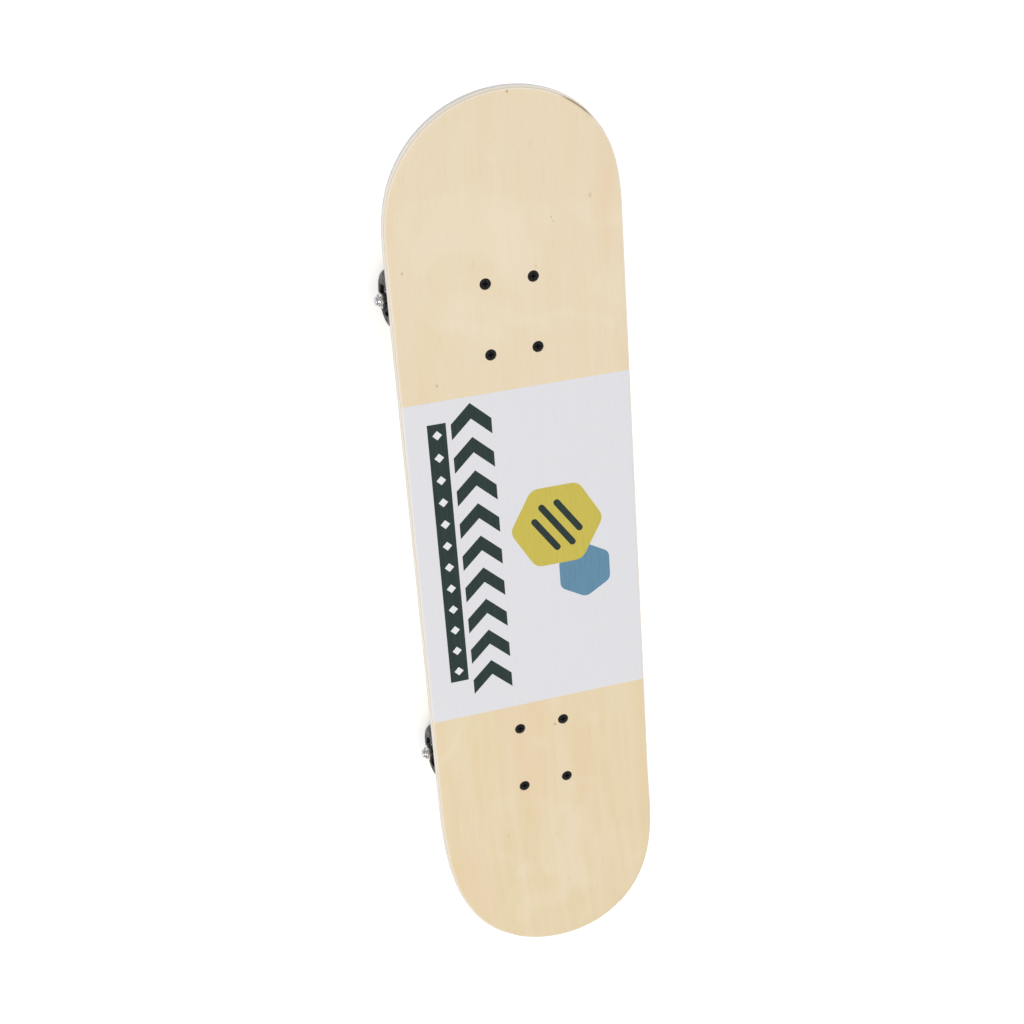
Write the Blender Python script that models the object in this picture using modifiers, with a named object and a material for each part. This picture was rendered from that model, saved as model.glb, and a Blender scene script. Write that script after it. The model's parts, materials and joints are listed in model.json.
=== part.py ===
"""A complete street skateboard, built from its separate pieces.

The board stands on its wheels on the plane z = 0.  +X points to the nose, +Y to the left and +Z up,
and the origin lies under the middle of the board's length and width.  Units are metres.

Each truck is laid out in its own frame: its origin is the centre of the four bolt holes on the deck's
underside, +X points away from the middle of the board and +Z points up into the deck.  The rear truck
is the front truck turned half round.
"""
import math

import bmesh
import bpy
from mathutils import Matrix, Vector

# ---- deck -------------------------------------------------------------------------------------------
DECK_LENGTH = 0.804             # of the top face; the leaning rim adds about 1 mm at each tip
DECK_WIDTH = 0.2032
DECK_THICKNESS = 0.0105
DECK_EDGE_RADIUS = 0.0035
NOSE_ROUND_LENGTH = 0.1232      # how much of the length the rounded nose takes
NOSE_ROUND_POWER = 2.45         # 2 is an ellipse, more is squarer
TAIL_ROUND_LENGTH = 0.1556
TAIL_ROUND_POWER = 3.45
ROUND_END_ANGLE = math.radians(84.0)    # where the rounded end stops in a short straight tip
ROUND_STEPS = 11
NOSE_KICK_LENGTH = 0.130        # from the start of the bend to the tip
NOSE_KICK_SLOPE = 0.213
NOSE_KICK_BLEND = 0.060
TAIL_KICK_LENGTH = 0.149
TAIL_KICK_SLOPE = 0.200
TAIL_KICK_BLEND = 0.040
BLEND_STEPS = 4

# ---- standing height and truck positions --------------------------------------------------------------
WHEEL_RADIUS = 0.026
AXLE_DROP = 0.0505              # deck underside to axle centre
DECK_BOTTOM = WHEEL_RADIUS + AXLE_DROP
DECK_TOP = DECK_BOTTOM + DECK_THICKNESS
WHEELBASE = 0.36195             # between the inner bolt holes, 14 1/4 in
WHEELBASE_SHIFT = -0.0017       # its middle lies this far behind the middle of the deck

# ---- truck bolts ------------------------------------------------------------------------------------
BOLT_SPACING_X = 0.0614
BOLT_SPACING_Y = 0.0413
BOLT_RADIUS = 0.0024
BOLT_HEAD_RADIUS = 0.0047
BOLT_HEAD_HEIGHT = 0.0026
BOLT_HEAD_SUNK = 0.0002         # below the deck's top
BOLT_LENGTH = 0.0254
LOCK_NUT_FLATS = 0.0095
LOCK_NUT_HEIGHT = 0.0055
LOCK_NUT_COLLAR = 0.0015

# ---- fits -------------------------------------------------------------------------------------------
GAP = 0.0003                    # between pieces that touch

# ---- baseplate --------------------------------------------------------------------------------------
PLATE_LENGTH = 0.080
PLATE_WIDTH = 0.054
PLATE_THICKNESS = 0.006
PLATE_CORNER = 0.008
PLATE_MIDDLE = -GAP - PLATE_THICKNESS / 2
KINGPIN_FOOT = (-0.024, 0.018, 0.0225, 0.006)   # first x, last x, half width, corner cut
PIVOT_FOOT = (0.012, 0.0395, 0.0125, 0.005)

# ---- kingpin and its stack, measured along the kingpin from the middle of the hanger's ring -------------
KINGPIN_TILT = math.radians(25.0)
RING_CENTRE = Vector((-0.010, 0.0, -0.036))
KINGPIN_RADIUS = 0.00475
KINGPIN_BORE = KINGPIN_RADIUS + GAP
RING_RADIUS = 0.015
RING_BORE = 0.007
RING_HALF = 0.0035
ARM_HALF_WIDTH = 0.0075
BUSHING_RADIUS = 0.012
CONE_SMALL_RADIUS = 0.0092
BOARD_BUSHING = (RING_HALF + GAP, 0.0168)
BOARD_WASHER = (BOARD_BUSHING[1] + GAP, 0.0186)
BOSS_SEAT = BOARD_WASHER[1] + GAP
BOSS_RADIUS = 0.0145
BOSS_WALL = 0.006               # of the seat above its washer, bored through for the kingpin
KINGPIN_HEAD = (0.0280, 0.0335)
KINGPIN_HEAD_FLATS = 0.0142
HEAD_POCKET_RADIUS = 0.0090
HEAD_POCKET_TOP = 0.050         # well above the baseplate
ROAD_BUSHING = (-0.0143, -RING_HALF - GAP)
ROAD_WASHER = (-0.0161, ROAD_BUSHING[0] - GAP)
KINGPIN_NUT = (-0.0254, ROAD_WASHER[0] - GAP)
KINGPIN_NUT_FLATS = 0.0142
KINGPIN_NUT_COLLAR = 0.0025
KINGPIN_TIP = -0.0272
WASHER_LIP = 0.0012              # how far a washer's rim stands over its bushing
WASHER_RIM = 0.0013             # how thick the rim is

# ---- pivot: the ball at the end of the hanger's post, and its cup ---------------------------------------
PIVOT = Vector((0.030, 0.0, -0.012))
PIVOT_TILT = math.radians(30.0)
PIVOT_BALL_RADIUS = 0.0050
POST_LOW = -0.021               # along the pivot's axis, inside the web
POST_HIGH = -0.003              # inside the ball
POST_LOW_RADIUS = 0.0066
POST_HIGH_RADIUS = 0.0042
CUP_RADIUS = 0.0085
CUP_TOP = 0.0072
CUP_MOUTH = -0.0055
CUP_MOUTH_BORE = 0.0068
CUP_DOME_RADIUS = 0.0045        # of the flat top inside the dome
CUP_DOME_DROP = 0.0045
SEAT_STEPS = 4
PIVOT_BOSS_RADIUS = 0.0120

# ---- hanger, axle and wheels ----------------------------------------------------------------------------
AXLE_CENTRE = Vector((0.011, 0.0, -AXLE_DROP))
AXLE_RADIUS = 0.0039
AXLE_HALF_LENGTH = 0.1006
HANGER_HALF_LENGTH = 0.0628
HANGER_END_RADIUS = 0.0090
HANGER_MIDDLE_RADIUS = 0.0105
HANGER_MIDDLE_HALF = 0.026
HANGER_CHAMFER = 0.001
ARM_ROOT_HALF = 0.020           # half width of the arm where it leaves the crossbar
ARM_ROOT_RADIUS = 0.0085
WEB_ROOT_HALF = 0.040
WEB_ROOT_RADIUS = 0.0060
WEB_ROOT_RISE = Vector((0.0005, 0.0, 0.002))
WEB_TOP = -0.0115               # along the pivot's axis
WEB_TOP_RADIUS = 0.0068
AXLE_CHAMFER = 0.0008
WHEEL_CENTRE_Y = 0.0768
WHEEL_HALF_WIDTH = 0.015
WHEEL_LIP_RADIUS = 0.0195
WHEEL_SHOULDER = 0.0090
WHEEL_RECESS_MOUTH = 0.0148      # the recess narrows from here at the lip
WHEEL_RECESS_RADIUS = 0.0122
WHEEL_RECESS_FLOOR = 0.0126      # from the middle of the wheel
WHEEL_CORE_BORE = 0.0080
WINDOW_COUNT = 6
WINDOW_CIRCLE = 0.0142
WINDOW_LENGTH = 0.0072
WINDOW_WIDTH = 0.0034
WINDOW_DEPTH = 0.005
BEARING_RADIUS = 0.011
BEARING_BORE = 0.0042
BEARING_WIDTH = 0.007
BEARING_OUTER_FACE = 0.012      # from the middle of the wheel
BEARING_MOUTH = BEARING_OUTER_FACE + 0.0002
SPEED_WASHER_RADIUS = 0.0070
SPEED_WASHER_THICKNESS = 0.0009
AXLE_NUT_FLATS = 0.0127
AXLE_NUT_HEIGHT = 0.0068
AXLE_NUT_COLLAR = 0.0018

ROUND = 24                      # sides of the larger round pieces
SMALL_ROUND = 16
NUT_ROUND = 12
WINDOW_SIDES = 8
WHEEL_SIDES = 30                # a flat side is down, and TREAD_CORNER_RADIUS puts it at WHEEL_RADIUS
TREAD_CORNER_RADIUS = WHEEL_RADIUS / math.cos(math.pi / WHEEL_SIDES)

MAPLE = ("maple", (0.83, 0.70, 0.48), 0.0, 0.45)
BLACK_STEEL = ("black_steel", (0.03, 0.03, 0.03), 0.6, 0.45)
ZINC_STEEL = ("zinc_steel", (0.75, 0.76, 0.78), 1.0, 0.25)
CAST_ALUMINIUM = ("cast_aluminium", (0.62, 0.63, 0.65), 1.0, 0.42)
BUSHING_URETHANE = ("bushing_urethane", (0.80, 0.79, 0.76), 0.0, 0.40)
CUP_URETHANE = ("cup_urethane", (0.05, 0.05, 0.05), 0.0, 0.50)
WHEEL_BLACK = ("wheel_black", (0.025, 0.025, 0.027), 0.0, 0.42)
BEARING_STEEL = ("bearing_steel", (0.60, 0.61, 0.63), 1.0, 0.28)


def clear_scene():
    for item in list(bpy.data.objects):
        bpy.data.objects.remove(item, do_unlink=True)


def make_collection(name):
    collection = bpy.data.collections.new(name)
    bpy.context.scene.collection.children.link(collection)
    return collection


def material(look):
    """The Principled material for one look, made once."""
    name, colour, metallic, roughness = look
    found = bpy.data.materials.get(name)
    if found:
        return found
    made = bpy.data.materials.new(name)
    made.use_nodes = True
    shader = made.node_tree.nodes["Principled BSDF"]
    shader.inputs["Base Color"].default_value = (*colour, 1.0)
    shader.inputs["Metallic"].default_value = metallic
    shader.inputs["Roughness"].default_value = roughness
    made.diffuse_color = (*colour, 1.0)
    return made


def make_object(name, mesh, collection, parent=None, location=(0, 0, 0), rotation=(0, 0, 0)):
    made = bpy.data.objects.new(name, mesh)
    collection.objects.link(made)
    made.parent = parent
    made.location = location
    made.rotation_euler = rotation
    return made


def make_empty(name, collection, parent=None, location=(0, 0, 0), rotation=(0, 0, 0)):
    made = make_object(name, None, collection, parent, location, rotation)
    made.empty_display_size = 0.03
    return made


def mesh_from(name, build, *values):
    """A mesh filled by build(bm, *values), its faces pointing out, shaded smooth between sharp edges."""
    mesh = bpy.data.meshes.new(name)
    bm = bmesh.new()
    build(bm, *values)
    if not any(edge.is_boundary for edge in bm.edges):
        bmesh.ops.recalc_face_normals(bm, faces=bm.faces)
    bm.to_mesh(mesh)
    bm.free()
    if mesh.polygons:
        mesh.shade_smooth()
        mesh.set_sharp_from_angle(angle=math.radians(35.0))
    return mesh


def profile_mesh(name, points, closed):
    """The half section of a turned piece: radius along X, height along Z, outer side top to bottom."""
    mesh = bpy.data.meshes.new(name)
    edges = [(i, i + 1) for i in range(len(points) - 1)]
    if closed:
        edges.append((len(points) - 1, 0))
    mesh.from_pydata([(radius, 0.0, height) for radius, height in points], edges, [])
    return mesh


def add_screw(piece, sides):
    screw = piece.modifiers.new("turn", "SCREW")
    screw.axis = "Z"
    screw.angle = math.tau
    screw.steps = sides
    screw.render_steps = sides
    screw.use_merge_vertices = True
    screw.merge_threshold = 0.00002
    screw.use_smooth_shade = True


def add_boolean(piece, operation, other):
    boolean = piece.modifiers.new(other.name, "BOOLEAN")
    boolean.operation = operation
    boolean.solver = "EXACT"
    boolean.object = other


def add_look(piece, look):
    piece.data.materials.clear()
    piece.data.materials.append(material(look))


def hide_cutter(cutter):
    cutter.hide_render = True
    cutter.display_type = "WIRE"


def bake(piece):
    """The piece's mesh with its modifiers applied; the piece itself is removed."""
    graph = bpy.context.evaluated_depsgraph_get()
    mesh = bpy.data.meshes.new_from_object(piece.evaluated_get(graph))
    mesh.name = piece.name
    bpy.data.objects.remove(piece, do_unlink=True)
    return mesh


def build_prism(bm, sides, radius, low, high, corner_angle=0.0):
    """An upright prism or cylinder between two heights."""
    middle = Matrix.Translation((0, 0, (low + high) / 2))
    turn = Matrix.Rotation(corner_angle, 4, "Z")
    bmesh.ops.create_cone(bm, cap_ends=True, segments=sides, radius1=radius, radius2=radius,
                          depth=high - low, matrix=middle @ turn)


def build_rounded_block(bm, length, width, low, high, corner):
    """A block with rounded upright corners."""
    bmesh.ops.create_cube(bm, size=1.0)
    bmesh.ops.scale(bm, vec=(length, width, high - low), verts=bm.verts)
    bmesh.ops.translate(bm, vec=(0, 0, (low + high) / 2), verts=bm.verts)
    upright = [edge for edge in bm.edges if abs(edge.verts[0].co.z - edge.verts[1].co.z) > 1e-6]
    bmesh.ops.bevel(bm, geom=upright, offset=corner, segments=4, profile=0.5, affect="EDGES")


def disc_points(centre, normal_tilt, radius, sides=ROUND):
    """Points on a circle whose normal is the Z axis leaned by normal_tilt towards +X."""
    turn = Matrix.Rotation(normal_tilt, 3, "Y")
    points = []
    for i in range(sides):
        angle = math.tau * i / sides
        points.append(centre + turn @ Vector((radius * math.cos(angle), radius * math.sin(angle), 0)))
    return points


def side_disc_points(centre, radius, sides=SMALL_ROUND):
    """Points on a circle that faces along Y, as the section of a bar across the truck."""
    points = []
    for i in range(sides):
        angle = math.tau * i / sides
        points.append(centre + Vector((radius * math.cos(angle), 0, radius * math.sin(angle))))
    return points


def rectangle_points(x_low, x_high, half_width, corner, height):
    """A rectangle with cut corners at one height."""
    points = []
    for x, inset in ((x_low, corner), (x_low + corner, 0.0), (x_high - corner, 0.0), (x_high, corner)):
        for side in (-1, 1):
            points.append(Vector((x, side * (half_width - inset), height)))
    return points


def merge_flat_faces(bm):
    bm.normal_update()
    bmesh.ops.dissolve_limit(bm, angle_limit=0.001, verts=bm.verts, edges=bm.edges)


def build_hull(bm, points):
    """The convex solid round the points."""
    verts = [bm.verts.new(point) for point in points]
    result = bmesh.ops.convex_hull(bm, input=verts)
    loose = [item for item in result["geom_interior"] if isinstance(item, bmesh.types.BMVert)]
    bmesh.ops.delete(bm, geom=loose, context="VERTS")
    merge_flat_faces(bm)


# ---- deck -------------------------------------------------------------------------------------------

def kick_height(distance, slope, blend):
    """Rise of a kick at a distance past the start of its bend: an arc-like blend, then straight."""
    if distance <= 0:
        return 0.0
    if distance < blend:
        return slope * distance ** 2 / (2 * blend)
    return slope * (distance - blend / 2)


def deck_height(x):
    """Height of the deck's top above its flat middle."""
    nose = kick_height(x - (DECK_LENGTH / 2 - NOSE_KICK_LENGTH), NOSE_KICK_SLOPE, NOSE_KICK_BLEND)
    tail = kick_height(-x - (DECK_LENGTH / 2 - TAIL_KICK_LENGTH), TAIL_KICK_SLOPE, TAIL_KICK_BLEND)
    return nose + tail


def round_end(length, power):
    """Distance past the start of the rounded end, and half width, from the widest place to the tip."""
    stations = []
    for i in range(1, ROUND_STEPS + 1):
        angle = ROUND_END_ANGLE * i / ROUND_STEPS
        reach = (math.sin(angle) / math.sin(ROUND_END_ANGLE)) ** (2 / power)
        stations.append((length * reach, DECK_WIDTH / 2 * math.cos(angle)))
    return stations


def deck_stations():
    """(x, half width) along the deck from tail to nose, with a station wherever the shape changes."""
    half = DECK_LENGTH / 2
    tail_start = -half + TAIL_ROUND_LENGTH
    nose_start = half - NOSE_ROUND_LENGTH
    tail = [(tail_start - d, w) for d, w in round_end(TAIL_ROUND_LENGTH, TAIL_ROUND_POWER)]
    nose = [(nose_start + d, w) for d, w in round_end(NOSE_ROUND_LENGTH, NOSE_ROUND_POWER)]
    bends = [tail_start, nose_start]
    for i in range(BLEND_STEPS + 1):
        bends.append(-half + TAIL_KICK_LENGTH - TAIL_KICK_BLEND * i / BLEND_STEPS)
        bends.append(half - NOSE_KICK_LENGTH + NOSE_KICK_BLEND * i / BLEND_STEPS)
    middle = [(x, DECK_WIDTH / 2) for x in sorted(bends) if tail_start <= x <= nose_start]
    return list(reversed(tail)) + middle + nose


def build_deck_surface(bm):
    """The deck's top as a strip between the stations, with each flat stretch made one face."""
    pairs = []
    for x, half_width in deck_stations():
        z = deck_height(x)
        pairs.append((bm.verts.new((x, -half_width, z)), bm.verts.new((x, half_width, z))))
    for (right, left), (next_right, next_left) in zip(pairs, pairs[1:]):
        bm.faces.new((right, next_right, next_left, left))
    merge_flat_faces(bm)


def bolt_places():
    """The four bolt axes of one truck: name ending, x and y in the truck's frame."""
    for row, x in (("inner", -BOLT_SPACING_X / 2), ("outer", BOLT_SPACING_X / 2)):
        for side, y in (("a", BOLT_SPACING_Y / 2), ("b", -BOLT_SPACING_Y / 2)):
            yield f"{row}_{side}", x, y


def bolt_profile(growth):
    """A countersunk bolt's half section from its head down, thicker all round by growth."""
    head_top = -BOLT_HEAD_SUNK
    return [
        (0.0, head_top + growth),
        (BOLT_HEAD_RADIUS + growth, head_top + growth),
        (BOLT_HEAD_RADIUS + growth, head_top - 0.0004),
        (BOLT_RADIUS + growth, head_top - BOLT_HEAD_HEIGHT),
        (BOLT_RADIUS + growth, head_top - BOLT_LENGTH - growth),
        (0.0, head_top - BOLT_LENGTH - growth),
    ]


def build_deck(collection, cutters, trucks):
    mesh = mesh_from("deck", build_deck_surface)
    deck = make_object("deck", mesh, collection, location=(0, 0, DECK_TOP))
    solid = deck.modifiers.new("thickness", "SOLIDIFY")
    solid.thickness = DECK_THICKNESS
    solid.offset = -1.0
    solid.use_even_offset = True
    rim = deck.modifiers.new("rounded_rim", "BEVEL")
    rim.width = DECK_EDGE_RADIUS
    rim.segments = 3
    rim.limit_method = "ANGLE"
    rim.angle_limit = math.radians(50.0)
    add_look(deck, MAPLE)

    hole_section = profile_mesh("bolt_hole_section", bolt_profile(GAP), closed=False)
    for name, truck in trucks:
        for place, x, y in bolt_places():
            hole = make_object(f"{name}_hole_{place}", hole_section, cutters, truck,
                               (x, y, DECK_THICKNESS))
            add_screw(hole, SMALL_ROUND)
            hide_cutter(hole)
            add_boolean(deck, "DIFFERENCE", hole)
    return deck


# ---- fasteners ------------------------------------------------------------------------------------------

def nut_mesh(name, flats, height, collar, bore):
    """A lock nut: a hexagon under a round collar, with a bore.  It stands on z = 0."""
    scratch = bpy.context.scene.collection
    corner_radius = flats / math.sqrt(3)
    body = make_object(name, mesh_from(name, build_prism, 6, corner_radius, 0.0, height - collar), scratch)
    collar_radius = flats / 2 - 0.0003
    ring_mesh = mesh_from(name + "_collar", build_prism, NUT_ROUND, collar_radius, height / 2, height)
    ring = make_object(name + "_collar", ring_mesh, scratch)
    hole_mesh = mesh_from(name + "_bore", build_prism, NUT_ROUND, bore, -height, 2 * height)
    hole = make_object(name + "_bore", hole_mesh, scratch)
    add_boolean(body, "UNION", ring)
    add_boolean(body, "DIFFERENCE", hole)
    mesh = bake(body)
    for used in (ring, hole):
        bpy.data.objects.remove(used, do_unlink=True)
    return mesh


def build_truck_bolts(name, truck, collection, bolt_section, lock_nut):
    """Four bolts through deck and baseplate, each with its lock nut below."""
    nut_top = -GAP - PLATE_THICKNESS - GAP
    for place, x, y in bolt_places():
        bolt = make_object(f"{name}_bolt_{place}", bolt_section, collection, truck,
                           (x, y, DECK_THICKNESS))
        add_screw(bolt, SMALL_ROUND)
        add_look(bolt, BLACK_STEEL)
        nut = make_object(f"{name}_lock_nut_{place}", lock_nut, collection, truck,
                          (x, y, nut_top), (math.pi, 0, 0))
        add_look(nut, BLACK_STEEL)


# ---- baseplate ------------------------------------------------------------------------------------------

def on_kingpin(height):
    """The point of the kingpin's axis at a height along it, in the truck's frame."""
    return RING_CENTRE + Matrix.Rotation(KINGPIN_TILT, 3, "Y") @ Vector((0, 0, height))


def on_pivot(height):
    """The point of the pivot cup's axis at a height along it, in the truck's frame."""
    return PIVOT + Matrix.Rotation(PIVOT_TILT, 3, "Y") @ Vector((0, 0, height))


def kingpin_boss_points():
    """The seat under the kingpin's washer, carried by a wide foot on the plate."""
    foot = rectangle_points(*KINGPIN_FOOT, PLATE_MIDDLE)
    return foot + disc_points(on_kingpin(BOSS_SEAT), KINGPIN_TILT, BOSS_RADIUS)


def pivot_boss_points():
    """The housing round the pivot cup."""
    foot = rectangle_points(*PIVOT_FOOT, PLATE_MIDDLE)
    mouth = on_pivot(CUP_MOUTH + 0.0005)
    return foot + disc_points(mouth, PIVOT_TILT, PIVOT_BOSS_RADIUS)


def cup_profile(growth):
    """Outer half section of the pivot cup, thicker by growth, from its domed top to its mouth."""
    return [
        (0.0, CUP_TOP + growth),
        (CUP_DOME_RADIUS + growth / 2, CUP_TOP + growth),
        (CUP_RADIUS + growth, CUP_TOP - CUP_DOME_DROP),
        (CUP_RADIUS + growth, CUP_MOUTH - 2 * growth),
    ]


def build_baseplate(name, truck, collection, cutters):
    plate_mesh = mesh_from(f"{name}_baseplate", build_rounded_block, PLATE_LENGTH, PLATE_WIDTH,
                           -GAP - PLATE_THICKNESS, -GAP, PLATE_CORNER)
    plate = make_object(f"{name}_baseplate", plate_mesh, collection, truck)
    add_look(plate, CAST_ALUMINIUM)
    for boss, points in (("kingpin_boss", kingpin_boss_points()), ("pivot_boss", pivot_boss_points())):
        boss_name = f"{name}_{boss}"
        solid = make_object(boss_name, mesh_from(boss_name, build_hull, points), cutters, truck)
        hide_cutter(solid)
        add_boolean(plate, "UNION", solid)

    kingpin_bore = mesh_from(f"{name}_kingpin_bore", build_prism, SMALL_ROUND, KINGPIN_BORE,
                             BOSS_SEAT - BOSS_WALL, KINGPIN_HEAD[1])
    head_pocket = mesh_from(f"{name}_head_pocket", build_prism, ROUND, HEAD_POCKET_RADIUS,
                            KINGPIN_HEAD[0] - GAP, HEAD_POCKET_TOP)
    for mesh in (kingpin_bore, head_pocket):
        cutter = make_object(mesh.name, mesh, cutters, truck, RING_CENTRE, (0, KINGPIN_TILT, 0))
        hide_cutter(cutter)
        add_boolean(plate, "DIFFERENCE", cutter)

    socket_low = CUP_MOUTH - PIVOT_BOSS_RADIUS
    socket_points = cup_profile(GAP) + [(CUP_RADIUS + GAP, socket_low), (0.0, socket_low)]
    socket_section = profile_mesh(f"{name}_cup_socket", socket_points, closed=False)
    socket = make_object(f"{name}_cup_socket", socket_section, cutters, truck, PIVOT, (0, PIVOT_TILT, 0))
    add_screw(socket, ROUND)
    hide_cutter(socket)
    add_boolean(plate, "DIFFERENCE", socket)

    for place, x, y in bolt_places():
        hole_mesh = mesh_from(f"{name}_plate_hole", build_prism, SMALL_ROUND, BOLT_RADIUS + GAP,
                              -2 * PLATE_THICKNESS, PLATE_THICKNESS)
        hole = make_object(f"{name}_plate_hole_{place}", hole_mesh, cutters, truck, (x, y, 0))
        hide_cutter(hole)
        add_boolean(plate, "DIFFERENCE", hole)


def build_pivot_cup(name, truck, collection):
    """A urethane cup with a round seat for the ball and a flared mouth."""
    seat_radius = PIVOT_BALL_RADIUS + GAP
    seat = []
    for i in range(1, SEAT_STEPS + 1):
        angle = math.pi / 2 * i / SEAT_STEPS
        seat.append((seat_radius * math.sin(angle), seat_radius * math.cos(angle)))
    points = cup_profile(0.0) + [(CUP_MOUTH_BORE, CUP_MOUTH)] + seat[::-1] + [(0.0, seat_radius)]
    section = profile_mesh(f"{name}_pivot_cup", points, closed=False)
    cup = make_object(f"{name}_pivot_cup", section, collection, truck, PIVOT, (0, PIVOT_TILT, 0))
    add_screw(cup, ROUND)
    add_look(cup, CUP_URETHANE)


# ---- kingpin stack --------------------------------------------------------------------------------------

def build_stack_ring(name, points, sides, look, truck, collection):
    """A turned ring that sits on the kingpin."""
    section = profile_mesh(name, points, closed=True)
    ring = make_object(name, section, collection, truck, RING_CENTRE, (0, KINGPIN_TILT, 0))
    add_screw(ring, sides)
    add_look(ring, look)


def build_kingpin_stack(name, truck, collection, cutters, kingpin_nut):
    """Kingpin, its nut, the two cupped washers and the two bushings."""
    shaft_mesh = mesh_from(f"{name}_kingpin", build_prism, SMALL_ROUND, KINGPIN_RADIUS,
                           KINGPIN_TIP, KINGPIN_HEAD[0] + 0.001)
    kingpin = make_object(f"{name}_kingpin", shaft_mesh, collection, truck, RING_CENTRE,
                          (0, KINGPIN_TILT, 0))
    head_mesh = mesh_from(f"{name}_kingpin_head", build_prism, 6, KINGPIN_HEAD_FLATS / math.sqrt(3),
                          *KINGPIN_HEAD)
    head = make_object(f"{name}_kingpin_head", head_mesh, cutters, truck, RING_CENTRE,
                       (0, KINGPIN_TILT, 0))
    hide_cutter(head)
    add_boolean(kingpin, "UNION", head)
    add_look(kingpin, ZINC_STEEL)

    nut = make_object(f"{name}_kingpin_nut", kingpin_nut, collection, truck,
                      on_kingpin(KINGPIN_NUT[1]), (math.pi, KINGPIN_TILT, 0))
    add_look(nut, ZINC_STEEL)

    bore = KINGPIN_BORE
    low, high = BOARD_BUSHING
    barrel = [
        (bore, high), (BUSHING_RADIUS - 0.001, high), (BUSHING_RADIUS, high - 0.003),
        (BUSHING_RADIUS, low + 0.003), (BUSHING_RADIUS - 0.001, low), (bore, low),
    ]
    build_stack_ring(f"{name}_board_bushing", barrel, ROUND, BUSHING_URETHANE, truck, collection)
    low, high = ROAD_BUSHING
    cone = [(bore, high), (BUSHING_RADIUS, high), (BUSHING_RADIUS, high - 0.0015),
            (CONE_SMALL_RADIUS, low), (bore, low)]
    build_stack_ring(f"{name}_road_bushing", cone, ROUND, BUSHING_URETHANE, truck, collection)

    low, high = BOARD_WASHER
    lip_in = BUSHING_RADIUS + GAP
    lip_out = lip_in + WASHER_RIM
    board_washer = [(bore, high), (lip_out, high), (lip_out, low - WASHER_LIP), (lip_in, low - WASHER_LIP),
                    (lip_in, low), (bore, low)]
    build_stack_ring(f"{name}_board_washer", board_washer, ROUND, ZINC_STEEL, truck, collection)
    low, high = ROAD_WASHER
    lip_in = CONE_SMALL_RADIUS + 2 * GAP + WASHER_LIP * 0.35
    lip_out = lip_in + WASHER_RIM
    road_washer = [(bore, high), (lip_in, high), (lip_in, high + WASHER_LIP), (lip_out, high + WASHER_LIP),
                   (lip_out, low), (bore, low)]
    build_stack_ring(f"{name}_road_washer", road_washer, ROUND, ZINC_STEEL, truck, collection)


# ---- hanger ---------------------------------------------------------------------------------------------

def crossbar_profile():
    """The bar over the axle: thick in the middle, tapering to its ends."""
    return [
        (0.0, HANGER_HALF_LENGTH),
        (HANGER_END_RADIUS - HANGER_CHAMFER, HANGER_HALF_LENGTH),
        (HANGER_END_RADIUS, HANGER_HALF_LENGTH - HANGER_CHAMFER),
        (HANGER_MIDDLE_RADIUS, HANGER_MIDDLE_HALF),
        (HANGER_MIDDLE_RADIUS, -HANGER_MIDDLE_HALF),
        (HANGER_END_RADIUS, -HANGER_HALF_LENGTH + HANGER_CHAMFER),
        (HANGER_END_RADIUS - HANGER_CHAMFER, -HANGER_HALF_LENGTH),
        (0.0, -HANGER_HALF_LENGTH),
    ]


def across(centre, half_width, radius):
    """Two bar sections either side of the middle."""
    points = []
    for side in (-1, 1):
        points += side_disc_points(centre + Vector((0, side * half_width, 0)), radius)
    return points


def arm_points():
    """The arm from the crossbar to the near side of the ring, clear of the bushings."""
    points = across(AXLE_CENTRE, ARM_ROOT_HALF, ARM_ROOT_RADIUS)
    turn = Matrix.Rotation(KINGPIN_TILT, 3, "Y")
    near = BUSHING_RADIUS + 2 * GAP
    for side in (-1, 1):
        for height in (-RING_HALF, RING_HALF):
            points.append(RING_CENTRE + turn @ Vector((near, side * ARM_HALF_WIDTH, height)))
    return points


def web_points():
    """The triangular web from the crossbar up to the pivot post."""
    points = across(AXLE_CENTRE + WEB_ROOT_RISE, WEB_ROOT_HALF, WEB_ROOT_RADIUS)
    return points + disc_points(on_pivot(WEB_TOP), PIVOT_TILT, WEB_TOP_RADIUS, SMALL_ROUND)


def build_post(bm):
    """The tapered pivot post, about the pivot's centre."""
    middle = Matrix.Translation((0, 0, (POST_LOW + POST_HIGH) / 2))
    bmesh.ops.create_cone(bm, cap_ends=True, segments=SMALL_ROUND, radius1=POST_LOW_RADIUS,
                          radius2=POST_HIGH_RADIUS, depth=POST_HIGH - POST_LOW, matrix=middle)


def build_ball(bm):
    bmesh.ops.create_uvsphere(bm, u_segments=SMALL_ROUND, v_segments=10, radius=PIVOT_BALL_RADIUS)


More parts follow.
